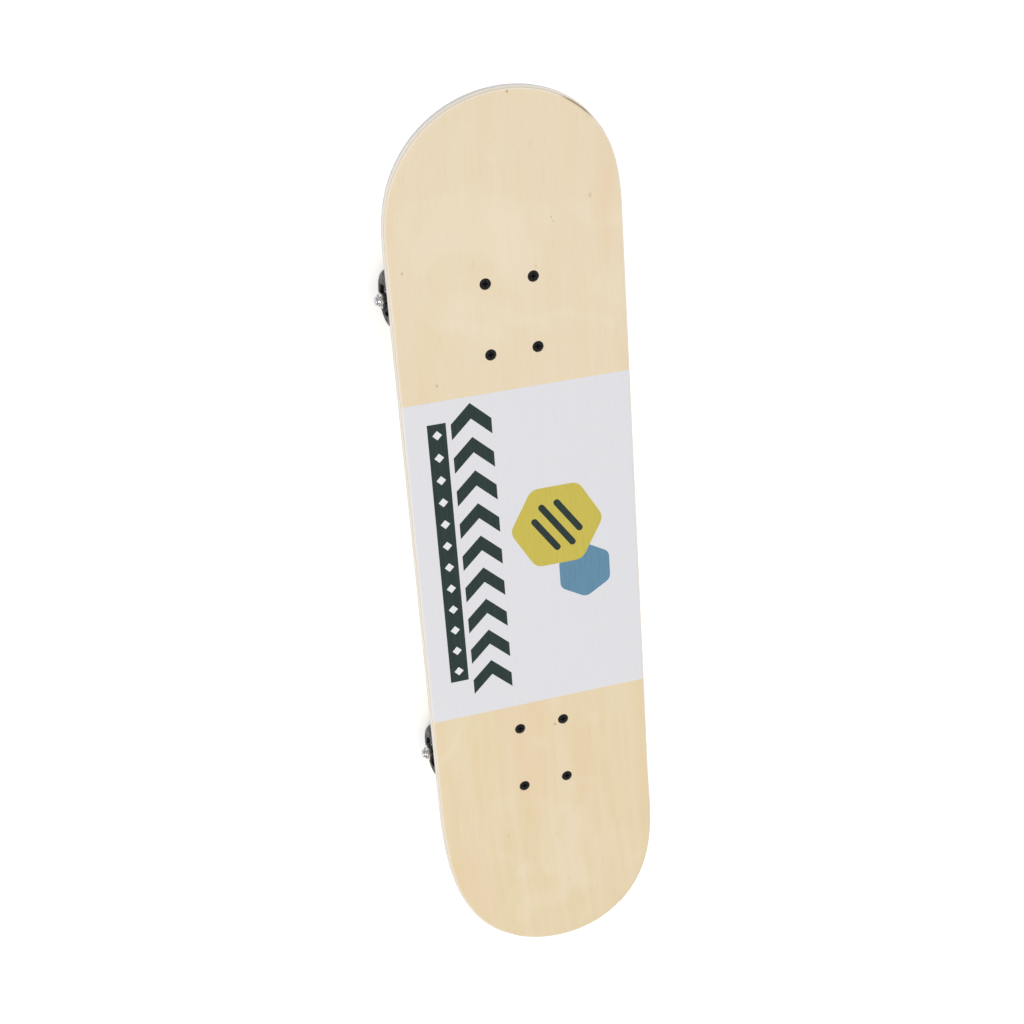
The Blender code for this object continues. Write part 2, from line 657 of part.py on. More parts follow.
def build_hanger(name, truck, steer, collection, cutters):
    """The cast hanger, on the steering axis: crossbar, arm and ring, web, pivot post and ball."""
    section = profile_mesh(f"{name}_hanger", crossbar_profile(), closed=False)
    hanger = make_object(f"{name}_hanger", section, collection, steer, AXLE_CENTRE - PIVOT,
                         (-math.pi / 2, 0, 0))
    add_screw(hanger, ROUND)
    add_look(hanger, CAST_ALUMINIUM)
    post_turn = (0, PIVOT_TILT, 0)
    ring_turn = (0, KINGPIN_TILT, 0)
    origin = (0, 0, 0)
    ring = mesh_from(f"{name}_ring", build_prism, ROUND, RING_RADIUS, -RING_HALF, RING_HALF)
    pieces = (
        ("ring", ring, RING_CENTRE, ring_turn),
        ("arm", mesh_from(f"{name}_arm", build_hull, arm_points()), origin, origin),
        ("web", mesh_from(f"{name}_web", build_hull, web_points()), origin, origin),
        ("post", mesh_from(f"{name}_post", build_post), PIVOT, post_turn),
        ("ball", mesh_from(f"{name}_ball", build_ball), PIVOT, post_turn),
    )
    for part, mesh, location, rotation in pieces:
        solid = make_object(f"{name}_{part}", mesh, cutters, truck, location, rotation)
        hide_cutter(solid)
        add_boolean(hanger, "UNION", solid)
    ring_bore = mesh_from(f"{name}_ring_bore", build_prism, ROUND, RING_BORE, -RING_RADIUS, RING_RADIUS)
    ring_hole = make_object(f"{name}_ring_bore", ring_bore, cutters, truck, RING_CENTRE, ring_turn)
    axle_bore = mesh_from(f"{name}_axle_bore", build_prism, SMALL_ROUND, AXLE_RADIUS + GAP,
                          -AXLE_HALF_LENGTH, AXLE_HALF_LENGTH)
    axle_hole = make_object(f"{name}_axle_bore", axle_bore, cutters, truck, AXLE_CENTRE,
                            (-math.pi / 2, 0, 0))
    for cutter in (ring_hole, axle_hole):
        hide_cutter(cutter)
        add_boolean(hanger, "DIFFERENCE", cutter)


# ---- axle and wheels ------------------------------------------------------------------------------------

def build_axle(name, steer, collection):
    tip_radius = AXLE_RADIUS - AXLE_CHAMFER
    straight = AXLE_HALF_LENGTH - AXLE_CHAMFER
    points = [
        (0.0, AXLE_HALF_LENGTH), (tip_radius, AXLE_HALF_LENGTH), (AXLE_RADIUS, straight),
        (AXLE_RADIUS, -straight), (tip_radius, -AXLE_HALF_LENGTH), (0.0, -AXLE_HALF_LENGTH),
    ]
    section = profile_mesh(f"{name}_axle", points, closed=False)
    axle = make_object(f"{name}_axle", section, collection, steer, AXLE_CENTRE - PIVOT,
                       (-math.pi / 2, 0, 0))
    add_screw(axle, SMALL_ROUND)
    add_look(axle, ZINC_STEEL)


def shoulder(side):
    """The rounded shoulder between a side face and the tread, from the face outwards."""
    points = []
    for degrees in (0, 45, 90):
        angle = math.radians(degrees)
        radius = WHEEL_LIP_RADIUS + (TREAD_CORNER_RADIUS - WHEEL_LIP_RADIUS) * math.sin(angle)
        height = WHEEL_HALF_WIDTH - WHEEL_SHOULDER * (1 - math.cos(angle))
        points.append((radius, side * height))
    return points


def wheel_profile():
    """Half section of a wheel with a bearing seat in each side; the outer face is at the top."""
    seat = BEARING_RADIUS + GAP
    step = BEARING_OUTER_FACE - BEARING_WIDTH - GAP
    half = [(WHEEL_RECESS_RADIUS, WHEEL_RECESS_FLOOR), (WHEEL_RECESS_MOUTH, WHEEL_HALF_WIDTH)] + shoulder(1)
    lower = shoulder(-1)[::-1] + [(WHEEL_RECESS_MOUTH, -WHEEL_HALF_WIDTH),
                                  (WHEEL_RECESS_RADIUS, -WHEEL_RECESS_FLOOR)]
    bore = [(seat, -BEARING_MOUTH), (seat, -step), (WHEEL_CORE_BORE, -step), (WHEEL_CORE_BORE, step),
            (seat, step), (seat, BEARING_MOUTH)]
    return half + lower + bore


def build_windows(bm):
    """Oval pockets round the bearing seat, cut from the outer face."""
    for i in range(WINDOW_COUNT):
        made = bmesh.ops.create_cone(bm, cap_ends=True, segments=WINDOW_SIDES, radius1=0.5,
                                     radius2=0.5, depth=2 * WINDOW_DEPTH)
        bmesh.ops.scale(bm, vec=(WINDOW_WIDTH, WINDOW_LENGTH, 1.0), verts=made["verts"])
        place = Matrix.Rotation(math.tau * i / WINDOW_COUNT, 4, "Z")
        shift = Matrix.Translation((WINDOW_CIRCLE, 0, WHEEL_HALF_WIDTH))
        bmesh.ops.transform(bm, matrix=place @ shift, verts=made["verts"])


def wheel_mesh():
    """One wheel's mesh, shared by all four."""
    scratch = bpy.context.scene.collection
    wheel = make_object("wheel", profile_mesh("wheel_section", wheel_profile(), closed=True), scratch)
    add_screw(wheel, WHEEL_SIDES)
    windows = make_object("wheel_windows", mesh_from("wheel_windows", build_windows), scratch)
    add_boolean(wheel, "DIFFERENCE", windows)
    mesh = bake(wheel)
    bpy.data.objects.remove(windows, do_unlink=True)
    return mesh


def bearing_profile():
    """A ball bearing as one ring."""
    half = BEARING_WIDTH / 2
    return [(BEARING_BORE, half), (BEARING_RADIUS, half), (BEARING_RADIUS, -half), (BEARING_BORE, -half)]


def build_wheel_group(name, side, steer, collection, shared):
    """A wheel with its two bearings, and the washer and nut that hold it.  side is +1 or -1 along Y."""
    axle = AXLE_CENTRE - PIVOT
    outward = (-math.pi / 2 * side, 0, 0)
    hub = axle + Vector((0, side * WHEEL_CENTRE_Y, 0))
    wheel = make_object(f"{name}_wheel", shared["wheel"], collection, steer, hub, outward)
    add_look(wheel, WHEEL_BLACK)
    for place, offset in (("outer", 1), ("inner", -1)):
        reach = offset * (BEARING_OUTER_FACE - BEARING_WIDTH / 2)
        bearing = make_object(f"{name}_{place}_bearing", shared["bearing"], collection, steer,
                              hub + Vector((0, side * reach, 0)), outward)
        add_screw(bearing, ROUND)
        add_look(bearing, BEARING_STEEL)
    washer_at = WHEEL_CENTRE_Y + BEARING_OUTER_FACE + GAP
    washer = make_object(f"{name}_speed_washer", shared["washer"], collection, steer,
                         axle + Vector((0, side * washer_at, 0)), outward)
    add_screw(washer, SMALL_ROUND)
    add_look(washer, ZINC_STEEL)
    nut_at = washer_at + SPEED_WASHER_THICKNESS + GAP
    nut = make_object(f"{name}_axle_nut", shared["axle_nut"], collection, steer,
                      axle + Vector((0, side * nut_at, 0)), outward)
    add_look(nut, ZINC_STEEL)


def shared_meshes():
    """Meshes used by more than one piece."""
    washer = [(BEARING_BORE, SPEED_WASHER_THICKNESS), (SPEED_WASHER_RADIUS, SPEED_WASHER_THICKNESS),
              (SPEED_WASHER_RADIUS, 0.0), (BEARING_BORE, 0.0)]
    return {
        "bolt": profile_mesh("truck_bolt", bolt_profile(0.0), closed=False),
        "lock_nut": nut_mesh("lock_nut", LOCK_NUT_FLATS, LOCK_NUT_HEIGHT, LOCK_NUT_COLLAR,
                             BOLT_RADIUS + GAP),
        "kingpin_nut": nut_mesh("kingpin_nut", KINGPIN_NUT_FLATS, KINGPIN_NUT[1] - KINGPIN_NUT[0],
                                KINGPIN_NUT_COLLAR, KINGPIN_BORE),
        "axle_nut": nut_mesh("axle_nut", AXLE_NUT_FLATS, AXLE_NUT_HEIGHT, AXLE_NUT_COLLAR,
                             AXLE_RADIUS + GAP),
        "wheel": wheel_mesh(),
        "bearing": profile_mesh("bearing", bearing_profile(), closed=True),
        "washer": profile_mesh("speed_washer", washer, closed=True),
    }


def main():
    clear_scene()
    collection = make_collection("skateboard")
    cutters = make_collection("cutters")
    shared = shared_meshes()
    pattern_centre = WHEELBASE / 2 + BOLT_SPACING_X / 2
    trucks = []
    for name, direction in (("front", 1), ("rear", -1)):
        place = (WHEELBASE_SHIFT + direction * pattern_centre, 0, DECK_BOTTOM)
        turn = (0, 0, 0 if direction > 0 else math.pi)
        trucks.append((name, make_empty(f"{name}_truck", collection, None, place, turn)))
    build_deck(collection, cutters, trucks)
    for name, truck in trucks:
        steer = make_empty(f"{name}_steering_axis", collection, truck, PIVOT)
        build_truck_bolts(name, truck, collection, shared["bolt"], shared["lock_nut"])
        build_baseplate(name, truck, collection, cutters)
        build_pivot_cup(name, truck, collection)
        build_kingpin_stack(name, truck, collection, cutters, shared["kingpin_nut"])
        build_hanger(name, truck, steer, collection, cutters)
        build_axle(name, steer, collection)
        left = 1 if name == "front" else -1
        for hand, side in (("left", left), ("right", -left)):
            build_wheel_group(f"{name}_{hand}", side, steer, collection, shared)
    bpy.context.view_layer.update()


main()
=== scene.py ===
"""The visual model of a street skateboard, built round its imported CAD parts.

Each CAD node is replaced by a finer piece in the same place: a pressed maple deck with its plies on show,
cross-recess bolts, cast trucks, urethane bushings and wheels, bearings, and threaded axles with lock nuts.
Units are metres. The board stands on z = 0 with +X to the nose, +Y to the left and +Z up.

A truck is laid out in its own frame: the origin is on the deck's underside in the middle of the four
bolts, +X points away from the middle of the board and +Z points up.
"""

import json
import math

import bmesh
import bpy
import numpy as np
from mathutils import Matrix, Vector


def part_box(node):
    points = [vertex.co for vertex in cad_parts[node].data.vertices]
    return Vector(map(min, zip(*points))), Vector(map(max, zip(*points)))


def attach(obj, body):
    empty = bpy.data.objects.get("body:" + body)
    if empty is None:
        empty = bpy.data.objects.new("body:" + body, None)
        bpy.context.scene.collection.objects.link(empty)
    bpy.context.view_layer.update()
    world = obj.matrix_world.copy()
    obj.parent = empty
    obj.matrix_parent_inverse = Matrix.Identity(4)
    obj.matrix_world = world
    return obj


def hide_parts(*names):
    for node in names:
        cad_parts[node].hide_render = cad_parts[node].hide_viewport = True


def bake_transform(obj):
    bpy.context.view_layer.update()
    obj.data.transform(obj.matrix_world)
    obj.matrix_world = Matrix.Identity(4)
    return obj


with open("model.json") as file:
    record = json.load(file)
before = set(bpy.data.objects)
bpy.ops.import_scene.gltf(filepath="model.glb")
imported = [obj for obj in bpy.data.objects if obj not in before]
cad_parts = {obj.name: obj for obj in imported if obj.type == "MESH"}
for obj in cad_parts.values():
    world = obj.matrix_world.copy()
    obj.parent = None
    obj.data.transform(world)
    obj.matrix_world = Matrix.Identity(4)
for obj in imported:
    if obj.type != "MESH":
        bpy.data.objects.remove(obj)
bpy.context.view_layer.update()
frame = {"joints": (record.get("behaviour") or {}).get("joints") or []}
JOINTS = {joint["name"]: joint for joint in frame["joints"]}

MM = 0.001
GAP = 0.3 * MM                  # between pieces that touch

# ---- deck ----
DECK_LOW, DECK_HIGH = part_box("deck")
DECK_HALF_LENGTH = 402.0 * MM   # of the top face
DECK_HALF_WIDTH = DECK_HIGH.y
DECK_THICKNESS = 10.5 * MM
DECK_BOTTOM = DECK_LOW.z
DECK_TOP = DECK_BOTTOM + DECK_THICKNESS
RIM_RADIUS = 3.5 * MM
TIP_TRIM = 0.30 * MM            # kept off each tip of the deck
PLY_COUNT = 7
PLY = DECK_THICKNESS / PLY_COUNT
PLY_GROOVE = 0.05 * MM
PLY_GROOVE_HALF = 0.12 * MM
NOSE_ROUND = (123.2 * MM, 2.45)     # length of the rounded end, and how square it is
TAIL_ROUND = (155.6 * MM, 3.45)
NOSE_KICK = (130.0 * MM, 0.213, 60.0 * MM)      # length, slope, length of the bend
TAIL_KICK = (149.0 * MM, 0.200, 40.0 * MM)
DECK_COLUMNS = 12

# ---- print on the deck ----
# a bar's and a row's numbers are its two ends along the board, then its two sides across it
BAND = (-158.0 * MM, 145.6 * MM)    # the pale band's ends along the board
BAND_SKEW = 0.016                   # it was printed a degree off square
INK = 0.03 * MM
BAR = (-121.0 * MM, 126.0 * MM, 64.4 * MM, 80.8 * MM)
CHEVRON_ROW = (-137.0 * MM, 140.0 * MM, 24.6 * MM, 60.2 * MM)
CHEVRON_COUNT = 9
LOZENGE_COUNT = 12
EMBLEM = Vector((13.5 * MM, -27.0 * MM, 0))
EMBLEM_RADIUS = 43.0 * MM
SMALL_EMBLEM = Vector((-35.0 * MM, -50.0 * MM, 0))
SMALL_EMBLEM_RADIUS = 27.0 * MM
PIN_KNOTS = (                       # x, y and radius on the deck's top, in mm, and how dark
    (-186.0, -12.6, 1.0, 0.9), (288.0, -39.0, 0.6, 0.8), (284.6, -40.6, 0.8, 0.4),
    (160.7, 68.8, 1.0, 0.6), (260.8, 89.1, 1.1, 0.5), (399.0, -2.9, 1.0, 0.9),
    (301.3, -72.8, 1.9, 0.25), (248.9, -23.5, 0.7, 0.6), (-292.0, 41.0, 0.9, 0.4),
)

# ---- truck ----
KINGPIN_TILT = math.radians(25.0)
RING_CENTRE = Vector((-10.0, 0.0, -36.0)) * MM
PIVOT = Vector((30.0, 0.0, -12.0)) * MM
PIVOT_TILT = math.radians(30.0)
AXLE_CENTRE = Vector((11.0, 0.0, -50.5)) * MM
PLATE_THICKNESS = 6.0 * MM
STACK_BORE = 5.05               # radius of the rings' bores round the kingpin, in mm
BALL_RADIUS = 5.0 * MM
AXLE_TIP = 100.6 * MM
CAST_VOXEL = 0.55 * MM
CAST_SMOOTHING = 5

# ---- fasteners ----
BOLT_HALF_X = 30.7 * MM         # half the bolts' spacing
BOLT_HALF_Y = 20.65 * MM
BOLT_RADIUS = 2.4 * MM
BOLT_HEAD_RADIUS = 4.7 * MM
BOLT_TOP = -0.2 * MM            # the head's top below the deck's
BOLT_PITCH = 0.79 * MM
THREAD_PITCH = 1.06 * MM
HEXAGON_CORNER = 0.985          # share of a true hexagon's corner left by the chamfer

# ---- wheel ----
WINDOW_COUNT = 6
WINDOW = (11.9 * MM, 14.6 * MM, math.radians(22))       # inner and outer radius, half its angle
PIT = (17.5 * MM, 1.4 * MM)                             # its circle's radius, and its own

# ---- camera ----
CAMERA_PLACE = (0.72859, 0.42425, 1.51024)
CAMERA_RIGHT = (-0.06897, -0.94889, 0.30797)
CAMERA_UP = (0.90274, -0.19076, -0.38557)
CAMERA_LENS = 66.84

OWN_SHARE = 0.855               # a surface's own colour against the colour it shows under these lights


def srgb(red, green, blue):
    """The linear own colour of a surface that shows these 0 to 255 screen values in the light."""
    linear = []
    for value in (red, green, blue):
        share = value / 255
        linear.append(OWN_SHARE * (share / 12.92 if share <= 0.04045 else ((share + 0.055) / 1.055) ** 2.4))
    return (*linear, 1.0)


def grey(value):
    return (value, value, value, 1.0)


# ---- materials ----

class Look:
    """A Principled material with helpers for the patterns that drive it."""

    def __init__(self, name, colour, metallic=0.0, roughness=0.5, coat=0.0, specular=0.5):
        self.material = bpy.data.materials.new(name)
        self.material.use_nodes = True
        self.tree = self.material.node_tree
        self.shader = self.tree.nodes["Principled BSDF"]
        for socket, value in (("Base Color", colour), ("Metallic", metallic), ("Roughness", roughness),
                              ("Specular IOR Level", specular), ("Coat Weight", coat),
                              ("Coat Roughness", 0.25)):
            self.shader.inputs[socket].default_value = value
        self.material.diffuse_color = colour
        self.place = self.node("ShaderNodeTexCoord").outputs["Object"]

    def node(self, kind, **settings):
        made = self.tree.nodes.new(kind)
        for key, value in settings.items():
            setattr(made, key, value)
        return made

    def feed(self, socket, value):
        if isinstance(value, bpy.types.NodeSocket):
            self.tree.links.new(value, socket)
        else:
            socket.default_value = value

    def drive(self, socket_name, source):
        self.tree.links.new(source, self.shader.inputs[socket_name])

    def stretched(self, scale, shift=(0, 0, 0)):
        """Object coordinates stretched along each axis."""
        mapping = self.node("ShaderNodeMapping")
        self.feed(mapping.inputs["Vector"], self.place)
        mapping.inputs["Scale"].default_value = scale
        mapping.inputs["Location"].default_value = shift
        return mapping.outputs["Vector"]

    def axes(self):
        split = self.node("ShaderNodeSeparateXYZ")
        self.feed(split.inputs["Vector"], self.place)
        return split.outputs

    def radius(self):
        """The distance from the object's Z axis."""
        x, y, _ = self.axes()
        return self.math("SQRT", self.math("ADD", self.times(x, x), self.times(y, y)))

    def noise(self, scale, detail=4.0, roughness=0.5, vector=None, distortion=0.0):
        made = self.node("ShaderNodeTexNoise")
        for socket, value in (("Vector", vector or self.place), ("Scale", scale), ("Detail", detail),
                              ("Roughness", roughness), ("Distortion", distortion)):
            self.feed(made.inputs[socket], value)
        return made.outputs["Fac"]

    def math(self, operation, *values):
        made = self.node("ShaderNodeMath", operation=operation)
        for socket, value in zip(made.inputs, values):
            self.feed(socket, value)
        return made.outputs["Value"]

    def times(self, first, second):
        return self.math("MULTIPLY", first, second)

    def spread(self, value, low, high, to_low=0.0, to_high=1.0):
        """The value taken smoothly from one range to another, held at its ends."""
        made = self.node("ShaderNodeMapRange", interpolation_type="SMOOTHSTEP")
        for name, number in (("Value", value), ("From Min", low), ("From Max", high),
                             ("To Min", to_low), ("To Max", to_high)):
            self.feed(made.inputs[name], number)
        return made.outputs["Result"]

    def mix(self, factor, first, second):
        made = self.node("ShaderNodeMix", data_type="RGBA")
        self.feed(made.inputs[0], factor)
        self.feed(made.inputs[6], first)
        self.feed(made.inputs[7], second)
        return made.outputs[2]

    def tint(self, base, pattern, low, high, most, colour):
        """The base with up to most of another colour where the pattern is high."""
        return self.mix(self.spread(pattern, low, high, 0.0, most), base, colour)

    def shades(self, pattern, low, high, first, second):
        """Drives the colour from one shade to another by a pattern."""
        self.drive("Base Color", self.mix(self.spread(pattern, low, high), first, second))

    def worn(self, pattern, low, high):
        """Drives the roughness between two values by a pattern."""
        self.drive("Roughness", self.spread(pattern, 0.3, 0.7, low, high))

    def bump(self, height, strength, distance):
        made = self.node("ShaderNodeBump")
        for socket, value in (("Strength", strength), ("Distance", distance), ("Height", height)):
            self.feed(made.inputs[socket], value)
        self.drive("Normal", made.outputs["Normal"])


def deck_look():
    """Pale maple with lengthwise grain, a printed band, and paler plies round the rim that turn grey lower
    down as painted shade.
    """
    look = Look("deck_maple", srgb(232, 215, 186), roughness=0.46, coat=0.08, specular=0.3)
    x, y, _ = look.axes()

    # veneer: warmer towards the tail, with broad streaks, fine fibres and a faint cross figure
    along = look.spread(x, -0.36, 0.30)
    wood = look.mix(along, srgb(231, 210, 170), srgb(234, 216, 185))
    streaks = look.noise(9.0, 5.0, 0.55, look.stretched((0.7, 9.0, 1.0)), 0.4)
    wood = look.tint(wood, streaks, 0.35, 0.68, 0.50, srgb(236, 220, 194))
    warm = look.noise(5.0, 3.0, 0.5, look.stretched((1.0, 5.0, 1.0), (3.1, 1.7, 0.0)))
    wood = look.tint(wood, warm, 0.50, 0.74, 0.5, srgb(233, 206, 170))
    lemon = look.noise(4.0, 3.0, 0.5, look.stretched((1.0, 3.2, 1.0), (7.3, 4.1, 0.0)))
    wood = look.tint(wood, lemon, 0.52, 0.74, 0.5, srgb(232, 216, 172))
    fibres = look.noise(60.0, 6.0, 0.65, look.stretched((0.5, 14.0, 1.0)), 0.2)
    wood = look.tint(wood, fibres, 0.42, 0.75, 0.13, srgb(212, 188, 150))
    figure = look.noise(17.0, 3.0, 0.5, look.stretched((1.0, 0.8, 1.0)), 0.8)
    wood = look.tint(wood, figure, 0.48, 0.70, 0.30, srgb(242, 229, 207))

    # short dark pores and a few pin knots
    pores = look.noise(300.0, 1.0, 0.4, look.stretched((0.16, 2.2, 1.0)))
    wood = look.tint(wood, pores, 0.70, 0.78, 0.17, srgb(190, 160, 118))
    knots = 1.0
    for knot_x, knot_y, radius, darkness in PIN_KNOTS:
        reach = look.node("ShaderNodeVectorMath", operation="DISTANCE")
        look.feed(reach.inputs[0], look.stretched((0.55, 1.0, 0.0)))
        reach.inputs[1].default_value = (knot_x * MM * 0.55, knot_y * MM, 0.0)
        ring = look.spread(reach.outputs["Value"], 0.25 * radius * MM, radius * MM, 1.0 - darkness)
        knots = look.times(knots, ring)
    wood = look.mix(look.math("SUBTRACT", 1.0, knots), wood, srgb(150, 116, 74))

    # printed band: opaque ink with the faintest trace of the grain below it
    square_x = look.math("SUBTRACT", x, look.times(y, BAND_SKEW))
    start = look.spread(square_x, BAND[0] - 0.1 * MM, BAND[0] + 0.1 * MM)
    end = look.spread(square_x, BAND[1] - 0.1 * MM, BAND[1] + 0.1 * MM, 1.0, 0.0)
    in_band = look.times(start, end)
    band = look.mix(look.spread(fibres, 0.40, 0.75, 0.0, 0.5), srgb(226, 225, 229), srgb(221, 220, 225))
    face = look.mix(in_band, wood, band)

    # rim: the depth below the top face picks the ply
    depth = look.node("ShaderNodeAttribute", attribute_name="depth").outputs["Fac"]
    ply = look.math("FLOOR", look.math("DIVIDE", depth, PLY))
    cross_ply = look.math("MODULO", ply, 2.0)
    end_grain = look.noise(900.0, 3.0, 0.6, look.stretched((0.6, 0.6, 2.0)))
    # painted shade: from about 3.6 to 5.4 mm down and below, the rim's plies turn grey, standing in for the
    # shade on its lower, downward-facing side
    low = look.spread(depth, 3.6 * MM, 5.4 * MM)
    half = look.times(cross_ply, 0.5)
    pale = look.mix(half, srgb(245, 237, 224), srgb(231, 222, 206))
    rim = look.mix(low, pale, look.mix(half, srgb(214, 214, 215), srgb(200, 200, 200)))
    veneer_line = look.math("ABSOLUTE", look.math("SUBTRACT", depth, PLY))
    rim = look.mix(look.spread(veneer_line, 0.15 * MM, 0.50 * MM, 0.5, 0.0), rim, srgb(200, 180, 150))
    rim = look.tint(rim, end_grain, 0.45, 0.75, 0.35, srgb(212, 200, 180))
    joint = look.math("FRACT", look.math("ADD", look.math("DIVIDE", depth, PLY), 0.5))
    from_joint = look.math("ABSOLUTE", look.math("SUBTRACT", joint, 0.5))
    rim = look.mix(look.spread(from_joint, 0.02, 0.09, 0.45, 0.0), rim, srgb(196, 182, 158))
    singe_across = look.times(look.spread(y, -77.0 * MM, -67.0 * MM),
                             look.spread(y, -56.0 * MM, -44.0 * MM, 1.0, 0.0))
    singe = look.times(singe_across, look.spread(x, 340.0 * MM, 365.0 * MM))
    singe = look.times(singe, look.spread(depth, 1.0 * MM, 2.2 * MM, 0.95, 0.0))
    rim = look.mix(singe, rim, srgb(132, 96, 62))
    cut_in = look.spread(depth, 0.10 * MM, 1.20 * MM)
    under = look.spread(depth, DECK_THICKNESS - 0.30 * MM, DECK_THICKNESS - 0.02 * MM, 1.0, 0.0)
    on_rim = look.times(cut_in, under)
    on_top = look.spread(depth, 0.0, 0.5 * DECK_THICKNESS, 1.0, 0.0)
    surface = look.mix(look.spread(on_top, 0.45, 0.55), wood, face)
    look.drive("Base Color", look.mix(on_rim, surface, rim))
    rough_face = look.mix(in_band, grey(0.44), grey(0.36))
    look.drive("Roughness", look.mix(on_rim, rough_face, grey(0.62)))
    look.bump(look.math("ADD", fibres, look.times(end_grain, on_rim)), 0.12, 0.0002)
    return look.material


def ink_look(name, colour, dark):
    """Screen-printed ink: nearly even, with the grain's fibres just showing through."""
    look = Look(name, colour, roughness=0.38, specular=0.2)
    fibres = look.noise(60.0, 6.0, 0.65, look.stretched((0.5, 14.0, 1.0)), 0.2)
    mottle = look.noise(700.0, 2.0, 0.5)
    both = look.math("ADD", look.times(fibres, 0.7), look.times(mottle, 0.3))
    look.shades(both, 0.40, 0.65, colour, dark)
    look.worn(mottle, 0.40, 0.52)
    look.bump(mottle, 0.05, 0.0001)
    return look.material


def black_steel_look():
    """Black-oxide steel, dull and a little blotchy."""
    look = Look("black_oxide", srgb(20, 20, 20), roughness=0.42, specular=0.18)
    blotch = look.noise(900.0, 4.0, 0.6)
    wear = look.noise(2600.0, 2.0, 0.5)
    look.shades(blotch, 0.35, 0.70, srgb(12, 12, 12), srgb(30, 30, 30))
    look.worn(wear, 0.34, 0.52)
    look.bump(wear, 0.15, 0.00005)
    return look.material


def zinc_look():
    """Bright plated steel with faint turning marks and a slightly milky bloom."""
    look = Look("bright_zinc", srgb(226, 228, 232), metallic=1.0, roughness=0.2)
    bloom = look.noise(420.0, 4.0, 0.6)
    marks = look.noise(260.0, 3.0, 0.5, look.stretched((1.0, 1.0, 26.0)))
    look.shades(bloom, 0.35, 0.7, srgb(222, 223, 226), srgb(192, 193, 195))
    look.worn(bloom, 0.10, 0.24)
    look.bump(marks, 0.10, 0.00004)
    return look.material


def cast_look():
    """Tumbled aluminium casting: pale, grainy and a little darker in its low spots."""
    look = Look("cast_aluminium", srgb(186, 188, 191), metallic=1.0, roughness=0.42)
    grain = look.noise(1500.0, 4.0, 0.6)
    pits = look.noise(900.0, 3.0, 0.55)
    colour = look.mix(look.spread(pits, 0.35, 0.65), srgb(178, 180, 183), srgb(196, 198, 201))
    look.drive("Base Color", look.tint(colour, grain, 0.62, 0.75, 0.4, srgb(150, 151, 154)))
    look.worn(pits, 0.36, 0.52)
    look.bump(look.math("ADD", grain, pits), 0.30, 0.00012)
    return look.material


def wheel_look():
    """Black moulded urethane, satin on the sides and a little scuffed on the tread."""
    look = Look("wheel_urethane", srgb(44, 44, 45), roughness=0.40, specular=0.25)
    cloud = look.noise(120.0, 4.0, 0.55)
    fine = look.noise(2400.0, 3.0, 0.5)
    tread = look.spread(look.radius(), 25.4 * MM, 25.95 * MM)
    base = look.mix(look.spread(cloud, 0.3, 0.7), srgb(30, 30, 31), srgb(42, 42, 43))
    look.drive("Base Color", look.mix(look.times(tread, 0.5), base, srgb(66, 65, 64)))
    worn = look.spread(cloud, 0.3, 0.7, 0.34, 0.46)
    look.drive("Roughness", look.math("ADD", worn, look.times(tread, 0.15)))
    look.bump(fine, 0.12, 0.00006)
    return look.material


def rubber_look(name, colour, second, roughness):
    """Moulded rubber or nylon: clouded, satin and very finely grained."""
    look = Look(name, colour, roughness=roughness)
    cloud = look.noise(260.0, 4.0, 0.55)
    fine = look.noise(2200.0, 2.0, 0.5)
    look.shades(cloud, 0.3, 0.7, colour, second)
    look.worn(fine, roughness - 0.06, roughness + 0.08)
    look.bump(fine, 0.12, 0.00005)
    return look.material


def race_look():
    """Ground bearing steel with fine concentric marks."""
    look = Look("bearing_race", srgb(196, 198, 202), metallic=1.0, roughness=0.24)
    rings = look.math("SINE", look.times(look.radius(), 26000.0))
    cloud = look.noise(500.0, 3.0, 0.5)
    look.shades(cloud, 0.3, 0.7, srgb(204, 206, 210), srgb(170, 172, 176))
    look.worn(cloud, 0.18, 0.32)
    look.bump(rings, 0.06, 0.00003)
    return look.material


LOOKS = {
    "deck": deck_look(),
    "dark_ink": ink_look("ink_dark_green", srgb(34, 50, 47), srgb(44, 61, 58)),
    "mustard_ink": ink_look("ink_mustard", srgb(206, 190, 84), srgb(197, 181, 80)),
    "blue_ink": ink_look("ink_blue", srgb(101, 144, 170), srgb(92, 134, 160)),
    "pale_ink": ink_look("ink_pale", srgb(236, 236, 238), srgb(226, 226, 229)),
    "black_steel": black_steel_look(),
    "zinc": zinc_look(),
    "cast": cast_look(),
    "wheel": wheel_look(),
    "bushing": rubber_look("bushing_urethane", srgb(226, 223, 214), srgb(212, 208, 198), 0.36),
    "cup": rubber_look("cup_urethane", srgb(30, 30, 31), srgb(42, 42, 43), 0.48),
    "seal": rubber_look("bearing_seal", srgb(22, 22, 24), srgb(32, 32, 34), 0.42),
    "nylon": rubber_look("nylon_ring", srgb(214, 218, 222), srgb(198, 203, 208), 0.40),
    "race": race_look(),
}


# ---- mesh building ----

def link(name, mesh, matrix=None):
    made = bpy.data.objects.new(name, mesh)
    bpy.context.scene.collection.objects.link(made)
    made.matrix_world = matrix or Matrix.Identity(4)
    return made


def shade(mesh, sharp_angle=35.0):
    mesh.shade_smooth()
    mesh.set_sharp_from_angle(angle=math.radians(sharp_angle))
    return mesh


def mesh_of(name, bm, sharp_angle=35.0):
    """A mesh from bm, with doubled points merged and faces pointing out."""
    bmesh.ops.remove_doubles(bm, verts=bm.verts, dist=1e-6)
    bmesh.ops.recalc_face_normals(bm, faces=bm.faces)
    mesh = bpy.data.meshes.new(name)
    bm.to_mesh(mesh)
    bm.free()
    return shade(mesh, sharp_angle)


def skin(bm, rings, closed=False):
    """Quads between each ring of points and the next, and back to the first if closed."""
    rows = [[bm.verts.new(point) for point in ring] for ring in rings]
    pairs = list(zip(rows, rows[1:]))
    if closed:
        pairs.append((rows[-1], rows[0]))
    for low, high in pairs:
        for i in range(len(low)):
            j = (i + 1) % len(low)
            bm.faces.new((low[i], low[j], high[j], high[i]))
    return rows


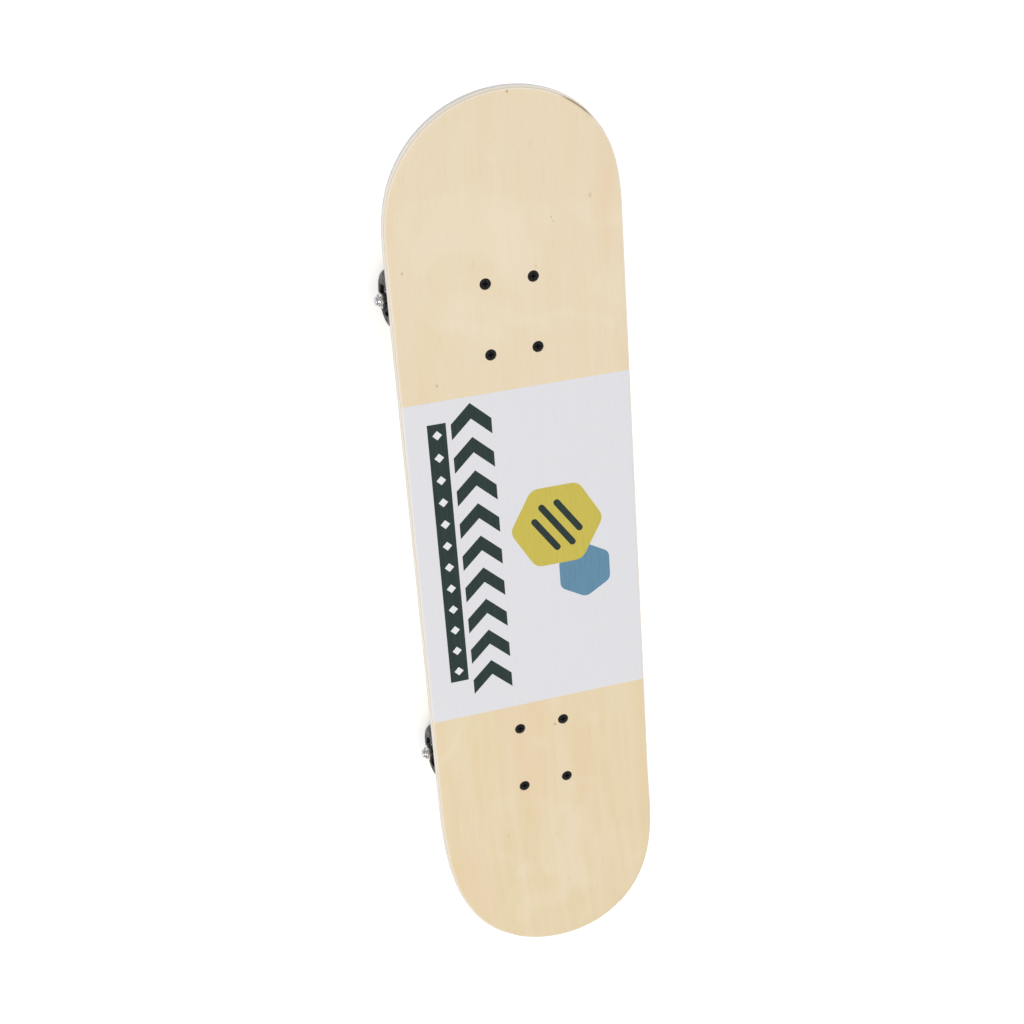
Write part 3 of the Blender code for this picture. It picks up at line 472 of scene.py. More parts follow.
def prism(name, *stacks):
    """Closed solids, each skinned over a stack of rings and capped at both ends."""
    bm = bmesh.new()
    for rings in stacks:
        rows = skin(bm, rings)
        bm.faces.new(rows[0][::-1])
        bm.faces.new(rows[-1])
    return mesh_of(name, bm)


def soften(outline, radius, closed, steps=3):
    """The outline with its corners rounded, or left as they are where they're nearly straight."""
    points = [Vector(point) for point in outline]
    count = len(points)
    rounded = []
    for i, corner in enumerate(points):
        if not closed and i in (0, count - 1):
            rounded.append(tuple(corner))
            continue
        before = points[i - 1] - corner
        after = points[(i + 1) % count] - corner
        reach = min(radius, 0.45 * before.length, 0.45 * after.length)
        if reach < 1e-7 or before.angle(after) > math.radians(160.0):
            rounded.append(tuple(corner))
            continue
        start = corner + before.normalized() * reach
        end = corner + after.normalized() * reach
        for step in range(steps + 1):
            t = step / steps
            rounded.append(tuple(start * (1 - t) ** 2 + corner * 2 * t * (1 - t) + end * t ** 2))
    return rounded


def mm(*points):
    """Points in metres from ones in millimetres."""
    return [tuple(value * MM for value in point) for point in points]


def arc(radius, first, last, steps=12, whole=math.pi):
    """(radius, height) points round part of a ball, down from its top; whole is the steps' angle."""
    turns = [whole * i / steps for i in range(first, last + 1)]
    return [(radius * math.sin(angle), radius * math.cos(angle)) for angle in turns]


def mirrored(half):
    """(radius, height) points, then the same ones with their heights negated, in the opposite order."""
    return half + [(radius, -height) for radius, height in half[::-1]]


def turned(name, outline, closed=False, sides=64, corner=0.0, shape=None, sharp_angle=35.0):
    """A turned piece from its half section of (radius, height) points.

    shape(angle, radius, height) may change the radius round a ring, as a hexagon or a thread does.
    """
    if corner:
        outline = soften(outline, corner, closed)
    rings = []
    for radius, height in outline:
        ring = []
        for i in range(sides):
            angle = math.tau * i / sides
            out = shape(angle, radius, height) if shape else radius
            ring.append((out * math.cos(angle), out * math.sin(angle), height))
        rings.append(ring)
    bm = bmesh.new()
    skin(bm, rings, closed)
    return mesh_of(name, bm, sharp_angle)


def thread(depth, low, high, pitch=THREAD_PITCH):
    """A ring shape for turned(): a screw thread cut between two heights, fading in and out."""
    def shape(angle, radius, height):
        if radius < 1e-6 or not low < height < high:
            return radius
        turn = height / pitch - angle / math.tau
        groove = abs(2 * (turn - math.floor(turn)) - 1)
        fade = min(1.0, (height - low) / pitch, (high - height) / (0.5 * pitch))
        return radius - depth * groove * fade
    return shape


def threaded_outline(radius, low, high, pitch=THREAD_PITCH):
    """Outline points of a straight shank, close enough together for a thread."""
    count = max(2, round((high - low) / pitch * 4))
    return [(radius, low + (high - low) * i / count) for i in range(count + 1)]


def bake(piece):
    """The piece's mesh with its modifiers applied; the piece itself is removed."""
    graph = bpy.context.evaluated_depsgraph_get()
    mesh = bpy.data.meshes.new_from_object(piece.evaluated_get(graph))
    mesh.name = piece.name
    bpy.data.objects.remove(piece, do_unlink=True)
    return mesh


def carve(mesh, cutters, sharp_angle=35.0):
    """The mesh with each (cutter mesh, matrix) taken out of it."""
    body = link(mesh.name, mesh)
    tools = []
    for cutter, matrix in cutters:
        tool = link("cutter", cutter, matrix)
        boolean = body.modifiers.new("cut", "BOOLEAN")
        boolean.operation = "DIFFERENCE"
        boolean.solver = "EXACT"
        boolean.object = tool
        tools.append(tool)
    bpy.context.view_layer.update()
    carved = bake(body)
    for tool in tools:
        bpy.data.objects.remove(tool, do_unlink=True)
    return shade(carved, sharp_angle)


def casting(name, solids):
    """One casting from overlapping closed (mesh, matrix) solids, with soft fillets where they meet."""
    bm = bmesh.new()
    for mesh, matrix in solids:
        placed = mesh.copy()
        placed.transform(matrix)
        bm.from_mesh(placed)
    mesh = bpy.data.meshes.new(name)
    bm.to_mesh(mesh)
    bm.free()
    piece = link(name, mesh)
    fuse = piece.modifiers.new("fuse", "REMESH")
    fuse.mode = "VOXEL"
    fuse.voxel_size = CAST_VOXEL
    fillet = piece.modifiers.new("fillet", "SMOOTH")
    fillet.factor = 0.5
    fillet.iterations = CAST_SMOOTHING
    bpy.context.view_layer.update()
    return shade(bake(piece), 60.0)


def hull(name, points):
    """The convex solid round the points."""
    bm = bmesh.new()
    verts = [bm.verts.new(point) for point in points]
    found = bmesh.ops.convex_hull(bm, input=verts)
    inside = [item for item in found["geom_interior"] if isinstance(item, bmesh.types.BMVert)]
    bmesh.ops.delete(bm, geom=inside, context="VERTS")
    return mesh_of(name, bm)


def ring_points(radius, sides, turn=0.0):
    turns = [turn + math.tau * i / sides for i in range(sides)]
    return [(radius * math.cos(angle), radius * math.sin(angle)) for angle in turns]


def circle(centre, tilt, radius):
    """Points on a circle whose normal is the Z axis leaned by tilt towards +X."""
    lean = Matrix.Rotation(tilt, 3, "Y")
    return [centre + lean @ Vector((x, y, 0)) for x, y in ring_points(radius, 40)]


def side_circles(centre, half_width, radius):
    """Two circles that face along Y, either side of the middle."""
    points = ring_points(radius, 32)
    return [centre + Vector((x, side * half_width, z)) for side in (-1, 1) for x, z in points]


def rounded_rectangle(x_low, x_high, half_width, corner, height):
    """Points of a rectangle with rounded corners at one height."""
    points = []
    middle = (x_low + x_high) / 2
    half_length = (x_high - x_low) / 2
    for quarter, (sx, sy) in enumerate(((1, 1), (-1, 1), (-1, -1), (1, -1))):
        for step in range(7):
            angle = math.pi / 2 * (quarter + step / 6)
            points.append(Vector((middle + sx * (half_length - corner) + corner * math.cos(angle),
                                  sy * (half_width - corner) + corner * math.sin(angle), height)))
    return points


# ---- where things are ----

def truck_place(end):
    """The truck's frame: front as it is, rear turned half round."""
    low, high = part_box(f"{end}_baseplate")
    turn = 0.0 if end == "front" else math.pi
    middle = Vector(((low.x + high.x) / 2, (low.y + high.y) / 2, high.z + GAP))
    return Matrix.Translation(middle) @ Matrix.Rotation(turn, 4, "Z")


def tilted(centre, tilt):
    return Matrix.Translation(centre) @ Matrix.Rotation(tilt, 4, "Y")


def bolt_places():
    for row, x in (("inner", -BOLT_HALF_X), ("outer", BOLT_HALF_X)):
        for hand, y in (("a", BOLT_HALF_Y), ("b", -BOLT_HALF_Y)):
            yield f"{row}_{hand}", x, y


def add(node, mesh, matrix, body, slot, *looks):
    """A finer piece in place of a CAD node, put on the body if one is given and on none otherwise."""
    piece = link(f"{node}_detail", mesh, matrix)
    set_looks(mesh, looks)
    if body:
        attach(piece, body)
    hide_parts(node)
    return piece


def set_looks(mesh, looks):
    if not mesh.materials:
        for look in looks:
            mesh.materials.append(LOOKS[look])


def paint(mesh, index, wanted):
    """Gives the faces whose centre (radius, height) is wanted another of the mesh's materials."""
    for face in mesh.polygons:
        centre = face.center
        if wanted(math.hypot(centre.x, centre.y), centre.z):
            face.material_index = index


# ---- deck ----

def kick(distance, slope, blend):
    """Rise and slope of a kick at a distance past the start of its bend."""
    if distance <= 0:
        return 0.0, 0.0
    if distance < blend:
        return slope * distance ** 2 / (2 * blend), slope * distance / blend
    return slope * (distance - blend / 2), slope


def deck_surface(x):
    """Height of the deck's top above its flat middle, and its slope along X."""
    nose, nose_slope = kick(x - DECK_HALF_LENGTH + NOSE_KICK[0], *NOSE_KICK[1:])
    tail, tail_slope = kick(-x - DECK_HALF_LENGTH + TAIL_KICK[0], *TAIL_KICK[1:])
    return nose + tail, nose_slope - tail_slope


def deck_point(x, y, depth):
    """A point below the deck's top, at right angles to it."""
    height, slope = deck_surface(x)
    length = math.hypot(1.0, slope)
    return Vector((x + depth * slope / length, y, DECK_TOP + height - depth / length))


def round_end(length, power):
    """(distance past the start of the rounded end, half width) from the widest place to the tip."""
    shares = {i / 34 for i in range(1, 31)}
    for i in range(15):
        shares.add(math.sin(math.radians(62.0 + 28.0 * i / 14)) ** (2 / power))
    widths = []
    for share in sorted(shares):
        widths.append((length * share, DECK_HALF_WIDTH * math.sqrt(max(0.0, 1 - share ** power))))
    return widths


def deck_stations():
    """(x, half width) along the deck from tail to nose."""
    tail_start = -DECK_HALF_LENGTH + TAIL_ROUND[0] + TIP_TRIM
    nose_start = DECK_HALF_LENGTH - NOSE_ROUND[0] - TIP_TRIM
    tail = [(tail_start - reach, width) for reach, width in round_end(*TAIL_ROUND)]
    nose = [(nose_start + reach, width) for reach, width in round_end(*NOSE_ROUND)]
    count = 110
    middle = []
    for i in range(count + 1):
        middle.append((tail_start + (nose_start - tail_start) * i / count, DECK_HALF_WIDTH))
    return tail[::-1] + middle + nose


def rim_section():
    """(inset from the widest outline, depth) down the rim, with a fine groove at each glue line."""
    depths = set()
    for i in range(10):
        drop = RIM_RADIUS * (1 - math.cos(math.pi / 2 * i / 9))
        depths.update((round(drop, 7), round(DECK_THICKNESS - drop, 7)))
    for i in range(1, PLY_COUNT):
        for off in (-PLY_GROOVE_HALF, 0.0, PLY_GROOVE_HALF):
            depths.add(round(PLY * i + off, 7))
    section = []
    for depth in sorted(depths):
        from_face = min(depth, DECK_THICKNESS - depth)
        short = max(0.0, RIM_RADIUS - from_face)
        inset = RIM_RADIUS - math.sqrt(RIM_RADIUS ** 2 - short ** 2)
        nearest = abs(depth / PLY - round(depth / PLY)) * PLY
        if nearest < 0.5 * PLY_GROOVE_HALF and from_face > 0.5 * PLY:
            inset += PLY_GROOVE
        section.append((inset, depth))
    return section


def deck_mesh():
    """The bare board: its rim skinned round the outline and its two faces filled in."""
    stations = deck_stations()
    right = [Vector((x, -width, 0)) for x, width in stations]
    left = [Vector((x, width, 0)) for x, width in stations[-2:0:-1]]
    outline = right + left
    count = len(outline)
    outward = []
    for i in range(count):
        tangent = outline[(i + 1) % count] - outline[i - 1]
        outward.append(Vector((tangent.y, -tangent.x, 0)).normalized())
    rings = []
    for inset, depth in rim_section():
        inner = [point - normal * inset for point, normal in zip(outline, outward)]
        rings.append([deck_point(point.x, point.y, depth) for point in inner])
    bm = bmesh.new()
    rows = skin(bm, rings)
    for ring in (rows[0], rows[-1]):
        cap_deck(bm, ring, len(stations))
    return mesh_of("deck_board", bm, 25.0)


def cap_deck(bm, ring, station_count):
    """Fills one face of the deck with rows of quads from its right side to its left."""
    rows = [[ring[0]]]
    for i in range(1, station_count - 1):
        right, left = ring[i], ring[len(ring) - i]
        row = [right]
        for column in range(1, DECK_COLUMNS):
            row.append(bm.verts.new(right.co.lerp(left.co, column / DECK_COLUMNS)))
        rows.append(row + [left])
    rows.append([ring[station_count - 1]])
    for low, high in zip(rows, rows[1:]):
        for i in range(max(len(low), len(high)) - 1):
            corners = [low[min(i, len(low) - 1)], low[min(i + 1, len(low) - 1)],
                       high[min(i + 1, len(high) - 1)], high[min(i, len(high) - 1)]]
            bm.faces.new(list(dict.fromkeys(corners)))


def store_depth(mesh):
    """Keeps each point's depth below the deck's top, which the rim's plies are coloured by."""
    values = []
    for vertex in mesh.vertices:
        x = vertex.co.x
        for _ in range(5):
            height, slope = deck_surface(x)
            length = math.hypot(1.0, slope)
            depth = (DECK_TOP + height - vertex.co.z) * length
            x = vertex.co.x - depth * slope / length
        values.append(depth)
    mesh.attributes.new("depth", "FLOAT", "POINT").data.foreach_set("value", np.array(values, np.float32))


def bolt_outline(growth):
    """The half section of a countersunk head grown all round, with the deck's top at height 0."""
    top, head, shank = BOLT_TOP, BOLT_HEAD_RADIUS + growth, BOLT_RADIUS + growth
    return [(0.0, top + growth), (head, top + growth), (head, top - 0.4 * MM), (shank, top - 2.6 * MM)]


def build_deck():
    hole_outline = bolt_outline(GAP) + [(BOLT_RADIUS + GAP, -12.0 * MM), (0.0, -12.0 * MM)]
    hole = turned("bolt_hole", hole_outline, sides=48)
    cutters = []
    for end in ("front", "rear"):
        for _, x, y in bolt_places():
            cutters.append((hole, truck_place(end) @ Matrix.Translation((x, y, DECK_THICKNESS))))
    mesh = carve(deck_mesh(), cutters, sharp_angle=25.0)
    store_depth(mesh)
    add("deck", mesh, Matrix.Identity(4), "deck", "deck_wood", "deck")


# ---- print ----

def ink_layer(name, look, shapes, layers=1):
    """Flat closed slabs of ink on the deck, one for each outline of (x, y) points."""
    heights = (DECK_TOP - 0.5 * INK, DECK_TOP + INK * layers)
    stacks = [[[(x + BAND_SKEW * y, y, height) for x, y in shape] for height in heights] for shape in shapes]
    mesh = prism(name, *stacks)
    set_looks(mesh, (look,))
    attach(link(name, mesh), "deck")


def regular(centre, radius, sides, turn=0.0, corner=0.0):
    """A regular polygon's outline, with rounded corners."""
    points = [(centre.x + x, centre.y + y) for x, y in ring_points(radius, sides, turn)]
    return soften(points, corner, closed=True, steps=6) if corner else points


def slanted_bar(centre, length, width, turn):
    """A straight bar with rounded ends."""
    along = Vector((math.cos(turn), math.sin(turn), 0)) * (length - width) / 2
    points = []
    for end, start in ((1, -math.pi / 2), (-1, math.pi / 2)):
        for step in range(9):
            angle = turn + start + math.pi * step / 8
            tip = centre + along * end
            points.append((tip.x + width / 2 * math.cos(angle), tip.y + width / 2 * math.sin(angle)))
    return points


def build_print():
    """A bar of lozenges, a row of chevrons and two plain hexagons: pattern only, with no lettering."""
    low, high, right, left = BAR
    ink_layer("print_bar", "dark_ink", [[(low, right), (high, right), (high, left), (low, left)]])
    lozenges = []
    middle = (right + left) / 2
    for i in range(LOZENGE_COUNT):
        x = low + (high - low) * (i + 0.5) / LOZENGE_COUNT
        lozenges.append(regular(Vector((x, middle)), 4.2 * MM, 4))
    ink_layer("print_lozenges", "pale_ink", lozenges, 2)

    low, high, right, left = CHEVRON_ROW
    pitch = (high - low) / CHEVRON_COUNT
    thick = 0.46 * pitch
    middle = (right + left) / 2
    chevrons = []
    for i in range(CHEVRON_COUNT):
        tail = low + pitch * i
        point = tail + pitch - thick
        chevrons.append([(tail, right), (tail + thick, right), (point + thick, middle),
                         (tail + thick, left), (tail, left), (point, middle)])
    ink_layer("print_chevrons", "dark_ink", chevrons)

    ink_layer("print_small_hexagon", "blue_ink",
              [regular(SMALL_EMBLEM, SMALL_EMBLEM_RADIUS, 6, 0.0, 5.0 * MM)])
    ink_layer("print_hexagon", "mustard_ink", [regular(EMBLEM, EMBLEM_RADIUS, 6, math.pi / 6, 7.0 * MM)], 2)
    slant = math.radians(35.0)
    across = Vector((-math.sin(slant), math.cos(slant), 0))
    bars = []
    for step, length in ((-1, 40.0), (0, 52.0), (1, 40.0)):
        bars.append(slanted_bar(EMBLEM + across * step * 13.0 * MM, length * MM, 6.0 * MM, slant))
    ink_layer("print_stripes", "dark_ink", bars, 3)


# ---- fasteners ----

def cross_recess():
    """A cross-shaped cutter that tapers as it goes down."""
    rings = []
    for height, reach, half in ((0.4, 2.75, 0.68), (-0.6, 2.2, 0.56), (-2.4, 0.8, 0.40)):
        corner = (half, half)
        ring = []
        for quarter in range(4):
            turn = Matrix.Rotation(math.pi / 2 * quarter, 2)
            for point in ((reach, -half), (reach, half), corner):
                x, y = turn @ Vector(point)
                ring.append((x * MM, y * MM, height * MM))
        rings.append(ring)
    return prism("cross_recess", rings)


def bolt_mesh():
    """A countersunk truck bolt, one inch long, with its thread on the lower half."""
    end, thread_top = BOLT_TOP - 25.4 * MM, -13.0 * MM
    head = [(radius, BOLT_TOP - down) for radius, down in mm(
        (0.0, 0.0), (4.35, 0.0), (4.62, 0.08), (4.7, 0.22), (4.7, 0.42), (2.4, 2.6))]
    shank = threaded_outline(BOLT_RADIUS, end + 0.7 * MM, thread_top, BOLT_PITCH)[::-1]
    outline = head + shank + [(1.7 * MM, end), (0.0, end)]
    blank = turned("truck_bolt", outline, sides=40,
                   shape=thread(0.45 * MM, end + 0.3 * MM, thread_top, BOLT_PITCH))
    return carve(blank, [(cross_recess(), Matrix.Translation((0, 0, BOLT_TOP)))])


def hexagon_corner(flats):
    return HEXAGON_CORNER * flats / math.sqrt(3)


def hexagon_radius(angle, flats):
    part = (angle + math.pi / 6) % (math.pi / 3) - math.pi / 6
    return min(flats / 2 / math.cos(part), hexagon_corner(flats))


def nut_mesh(name, flats, height, bore, collar, looks):
    """A lock nut that stands on height 0: a chamfered hexagon and a collar that holds a nylon ring."""
    flat = flats / 2
    corner = hexagon_corner(flats)
    slope = 0.55 * (corner - flat)
    hex_top = height - collar
    rim = flat - 0.25 * MM
    chamfer = [(flat - 0.1 * MM + (corner - flat + 0.1 * MM) * i / 5, slope * i / 5) for i in range(6)]
    outline = [(bore, 0.0), (rim, 0.0)] + chamfer
    outline += [(radius, hex_top - down) for radius, down in chamfer[::-1]]
    ring = 0.62 * (rim - bore) + bore
    outline += [
        (rim - 0.25 * MM, hex_top + 0.1 * MM), (rim - 0.3 * MM, height - 0.7 * MM),
        (rim - 0.6 * MM, height - 0.2 * MM), (rim - 1.0 * MM, height), (ring + 0.15 * MM, height),
        (ring, height - 0.15 * MM), (ring, height - 0.45 * MM), (bore, height - 0.45 * MM),
    ]
    mesh = turned(name, outline, closed=True, sides=72, sharp_angle=28.0,
                  shape=lambda angle, radius, z: min(hexagon_radius(angle, flats), radius))
    set_looks(mesh, looks)
    paint(mesh, 1, lambda radius, z: radius < ring and z > height - 0.6 * MM)
    return mesh


# ---- truck castings ----

def baseplate_mesh():
    """The cast baseplate, with a seat for the kingpin stack and a housing for the pivot cup."""
    top, bottom = -GAP, -GAP - PLATE_THICKNESS
    slab = rounded_rectangle(-39.2 * MM, 39.2 * MM, 26.2 * MM, 7.5 * MM, bottom)
    for height in (top, bottom + 1.0 * MM):
        slab += rounded_rectangle(-40 * MM, 40 * MM, 27 * MM, 8 * MM, height)
    middle = (top + bottom) / 2
    seat = RING_CENTRE + Matrix.Rotation(KINGPIN_TILT, 3, "Y") @ Vector((0, 0, 18.9 * MM))
    mouth = PIVOT + Matrix.Rotation(PIVOT_TILT, 3, "Y") @ Vector((0, 0, -5.0 * MM))
    kingpin_boss = rounded_rectangle(-24 * MM, 18 * MM, 22.5 * MM, 8 * MM, middle)
    kingpin_boss += circle(seat, KINGPIN_TILT, 14.5 * MM)
    pivot_boss = rounded_rectangle(12 * MM, 39.8 * MM, 12.8 * MM, 6 * MM, bottom)
    pivot_boss += circle(mouth, PIVOT_TILT, 12.3 * MM)
    parts = (("slab", slab), ("boss", kingpin_boss), ("housing", pivot_boss))
    blank = casting("baseplate", [(hull(name, points), Matrix.Identity(4)) for name, points in parts])

    kingpin_hole = turned("kingpin_hole", mm((0, 0), (STACK_BORE, 0), (STACK_BORE, 27.7), (9.0, 27.7),
                                             (9.0, 55), (0, 55)))
    socket = turned("cup_socket", mm((0, 7.5), (4.7, 7.5), (7.6, 4.4), (8.8, 1.8), (8.8, -20), (0, -20)))
    bolt_hole = turned("plate_hole", mm((0, 3), (2.7, 3), (2.7, -9), (0, -9)))
    cutters = [(kingpin_hole, tilted(RING_CENTRE, KINGPIN_TILT)), (socket, tilted(PIVOT, PIVOT_TILT))]
    for _, x, y in bolt_places():
        cutters.append((bolt_hole, Matrix.Translation((x, y, 0))))
    return carve(blank, cutters, sharp_angle=50.0)


def hanger_mesh():
    """The cast hanger about the truck's origin: crossbar, ring, arm, webs, post and ball."""
    bar = mm((0, 62.8), (7.6, 62.8), (8.2, 62.2), (8.2, 60.6), (8.9, 60.0), (9.2, 56.0), (10.3, 30.0),
             (10.6, 12.0))
    crossbar = turned("crossbar", mirrored(bar), sides=72)
    ring = turned("ring", mm((7.2, 3.5), (15, 3.5), (15, -3.5), (7.2, -3.5)), closed=True, sides=72)
    lean = Matrix.Rotation(KINGPIN_TILT, 3, "Y")
    arm = side_circles(AXLE_CENTRE, 20 * MM, 8.5 * MM)
    for side in (-1, 1):
        for height in (-3.4, 3.4):
            arm.append(RING_CENTRE + lean @ (Vector((12.6, side * 7.5, height)) * MM))
    post_foot = PIVOT + Matrix.Rotation(PIVOT_TILT, 3, "Y") @ Vector((0, 0, -11.5 * MM))
    web = side_circles(AXLE_CENTRE + Vector((0.5, 0, 2.0)) * MM, 40 * MM, 6.0 * MM)
    web += circle(post_foot, PIVOT_TILT, 6.8 * MM)
    post = turned("post", mm((0, -3), (4.2, -3), (6.6, -21), (0, -21)))
    ball = [(0.0, BALL_RADIUS)] + arc(BALL_RADIUS, 1, 11) + [(0.0, -BALL_RADIUS)]
    pivot = tilted(PIVOT, PIVOT_TILT)
    solids = [
        (crossbar, Matrix.Translation(AXLE_CENTRE) @ Matrix.Rotation(-math.pi / 2, 4, "X")),
        (ring, tilted(RING_CENTRE, KINGPIN_TILT)), (hull("arm", arm), Matrix.Identity(4)),
        (hull("web", web), Matrix.Identity(4)), (post, pivot), (turned("ball", ball), pivot),
    ]
    return casting("hanger", solids)


def stack_ring(name, points, corner, look):
    """A turned ring round the kingpin, from (radius, height) points in mm."""
    mesh = turned(name, mm(*points), closed=True, corner=corner * MM)
    set_looks(mesh, (look,))
    return mesh


def kingpin_mesh():
    """The kingpin about the bushing seat: a hexagon head above, a plain shank and a thread below."""
    tip, head_low, head_high = -27.2 * MM, 28.0 * MM, 33.5 * MM
    thread_end = -15.0 * MM
    outline = [(0.0, tip), (3.9 * MM, tip)] + threaded_outline(4.75 * MM, tip + 0.8 * MM, thread_end)
    outline += [(4.75 * MM, head_low), (7.8 * MM, head_low), (8.1 * MM, head_low + 0.4 * MM),
                (8.1 * MM, head_high - 0.4 * MM), (7.0 * MM, head_high), (0.0, head_high)]
    cut = thread(0.6 * MM, tip + 0.4 * MM, thread_end)

    def shape(angle, radius, height):
        if height >= head_low:
            return min(radius, hexagon_radius(angle, 14.2 * MM))
        return cut(angle, radius, height)
    return turned("kingpin", outline, sides=48, shape=shape)


def cup_mesh():
    """The pivot cup: a domed urethane cup with a round seat and a flared mouth."""
    seat = BALL_RADIUS + GAP
    outer = mm((0.0, 7.2), (4.5, 7.2), (7.3, 4.2), (8.5, 1.6), (8.5, -5.2), (8.2, -5.5), (6.8, -5.5))
    return turned("pivot_cup", outer + arc(seat, 1, 8, 8, math.pi / 2)[::-1] + [(0.0, seat)])


# ---- wheels ----

def wheel_section():
    """Half section of a wheel from its outer face round to its bore; the outer face is at the top."""
    outer = [(12.1, 12.6), (14.5, 14.75), (14.9, 14.98), (15.9, 15.0), (16.5, 14.65), (18.2, 14.65),
             (18.7, 14.98)]
    shoulder = []
    for i in range(13):
        angle = math.pi / 2 * i / 12
        shoulder.append((19.5 + 6.5 * math.sin(angle), 15.0 - 9.0 * (1 - math.cos(angle))))
    bore = [(11.5, -12.3), (11.3, -12.1), (11.3, -4.7), (8.0, -4.7)]
    return mm(*mirrored(outer + shoulder + [(26.0, 2.0)]), *mirrored(bore))


def window_cutters():
    """Curved windows round the bearing with a spoke between each two, and a small pit outside each."""
    inner, outer, reach = WINDOW
    window = []
    for radius, way in ((outer, 1), (inner, -1)):
        for i in range(9):
            angle = way * reach * (i / 4 - 1)
            window.append((radius * math.cos(angle), radius * math.sin(angle)))
    window = plug("window", soften(window, 1.1 * MM, closed=True), 6.0 * MM)
    pit = plug("pit", regular(Vector((PIT[0], 0)), PIT[1], 20), 12.0 * MM)
    for i in range(WINDOW_COUNT):
        turn = Matrix.Rotation(math.tau * i / WINDOW_COUNT, 4, "Z")
        yield window, turn
        yield pit, turn


def plug(name, outline, floor):
    """An upright plug with this outline, from the floor to clear of the wheel's face."""
    return prism(name, [[(x, y, height) for x, y in outline] for height in (floor, 16.0 * MM)])


def bearing_mesh():
    """A sealed ball bearing: two races and a sunk rubber seal on each side."""
    half = mm((4.2, 3.5), (5.5, 3.5), (5.65, 3.2), (10.35, 3.1), (10.5, 3.5), (11.0, 3.5))
    mesh = turned("bearing", mirrored(half), closed=True, corner=0.15 * MM)
    set_looks(mesh, ("race", "seal"))
    paint(mesh, 1, lambda radius, z: 5.55 * MM < radius < 10.45 * MM and abs(z) > 2.5 * MM)
    return mesh


def washer_mesh():
    outline = mm((4.2, 0.9), (7.0, 0.9), (7.0, 0.0), (4.2, 0.0))
    return turned("speed_washer", outline, closed=True, corner=0.2 * MM)


def axle_mesh():
    """The axle, with a shoulder outside the hanger, a thread at each end and a domed tip."""
    tip, thread_start = AXLE_TIP, 84.0 * MM
    half = mm((5.2, 62.0), (5.2, 63.4), (5.0, 63.6), (3.9, 63.6))
    half += threaded_outline(3.9 * MM, thread_start, tip - 1.4 * MM)
    end = mm((3.75, 1.0), (3.4, 0.5), (2.6, 0.15), (1.4, 0), (0, 0))
    half += [(radius, tip - down) for radius, down in end]
    outline = [(radius, -height) for radius, height in half[::-1]] + half
    right_thread = thread(0.32 * MM, -tip + 1.3 * MM, -thread_start)
    left_thread = thread(0.32 * MM, thread_start, tip - 1.3 * MM)

    def shape(angle, radius, height):
        return right_thread(angle, left_thread(angle, radius, height), height)
    return turned("axle", outline, sides=48, shape=shape)


# ---- assembly ----

def shared_meshes():
    """The meshes that more than one piece uses, each about its own place in the assembly."""
    steel_nut = ("zinc", "nylon")
    return {
        "bolt": bolt_mesh(),
        "lock_nut": nut_mesh("lock_nut", 9.5 * MM, 5.5 * MM, 2.5 * MM, 1.5 * MM, ("black_steel", "nylon")),
        "kingpin_nut": nut_mesh("kingpin_nut", 14.2 * MM, 9.0 * MM, 4.9 * MM, 2.5 * MM, steel_nut),
        "axle_nut": nut_mesh("axle_nut", 12.7 * MM, 6.8 * MM, 4.0 * MM, 1.8 * MM, steel_nut),
        "baseplate": baseplate_mesh(),
        "hanger": hanger_mesh(),
        "kingpin": kingpin_mesh(),
        "cup": cup_mesh(),
        "axle": axle_mesh(),
        "wheel": carve(turned("wheel", wheel_section(), closed=True, sides=128), window_cutters(),
                       sharp_angle=18.0),
        "bearing": bearing_mesh(),
        "washer": washer_mesh(),
        "board_bushing": stack_ring("board_bushing", [
            (STACK_BORE, 16.8), (10.8, 16.8), (11.9, 15.0), (12.0, 10.3), (11.9, 5.6), (10.8, 3.8),
            (STACK_BORE, 3.8)], 0.6, "bushing"),
        "road_bushing": stack_ring("road_bushing", [
            (STACK_BORE, -3.8), (11.6, -3.8), (12.0, -4.6), (11.7, -6.0), (9.5, -13.6), (8.9, -14.3),
            (STACK_BORE, -14.3)], 0.6, "bushing"),
        "board_washer": stack_ring("board_washer", [
            (STACK_BORE, 18.6), (12.9, 18.6), (13.6, 18.1), (13.6, 15.9), (12.4, 15.9), (12.3, 17.1),
            (STACK_BORE, 17.1)], 0.35, "zinc"),
        "road_washer": stack_ring("road_washer", [
            (STACK_BORE, -14.6), (10.2, -14.6), (10.3, -13.4), (11.5, -13.4), (11.5, -15.6), (10.9, -16.1),
            (STACK_BORE, -16.1)], 0.35, "zinc"),
    }


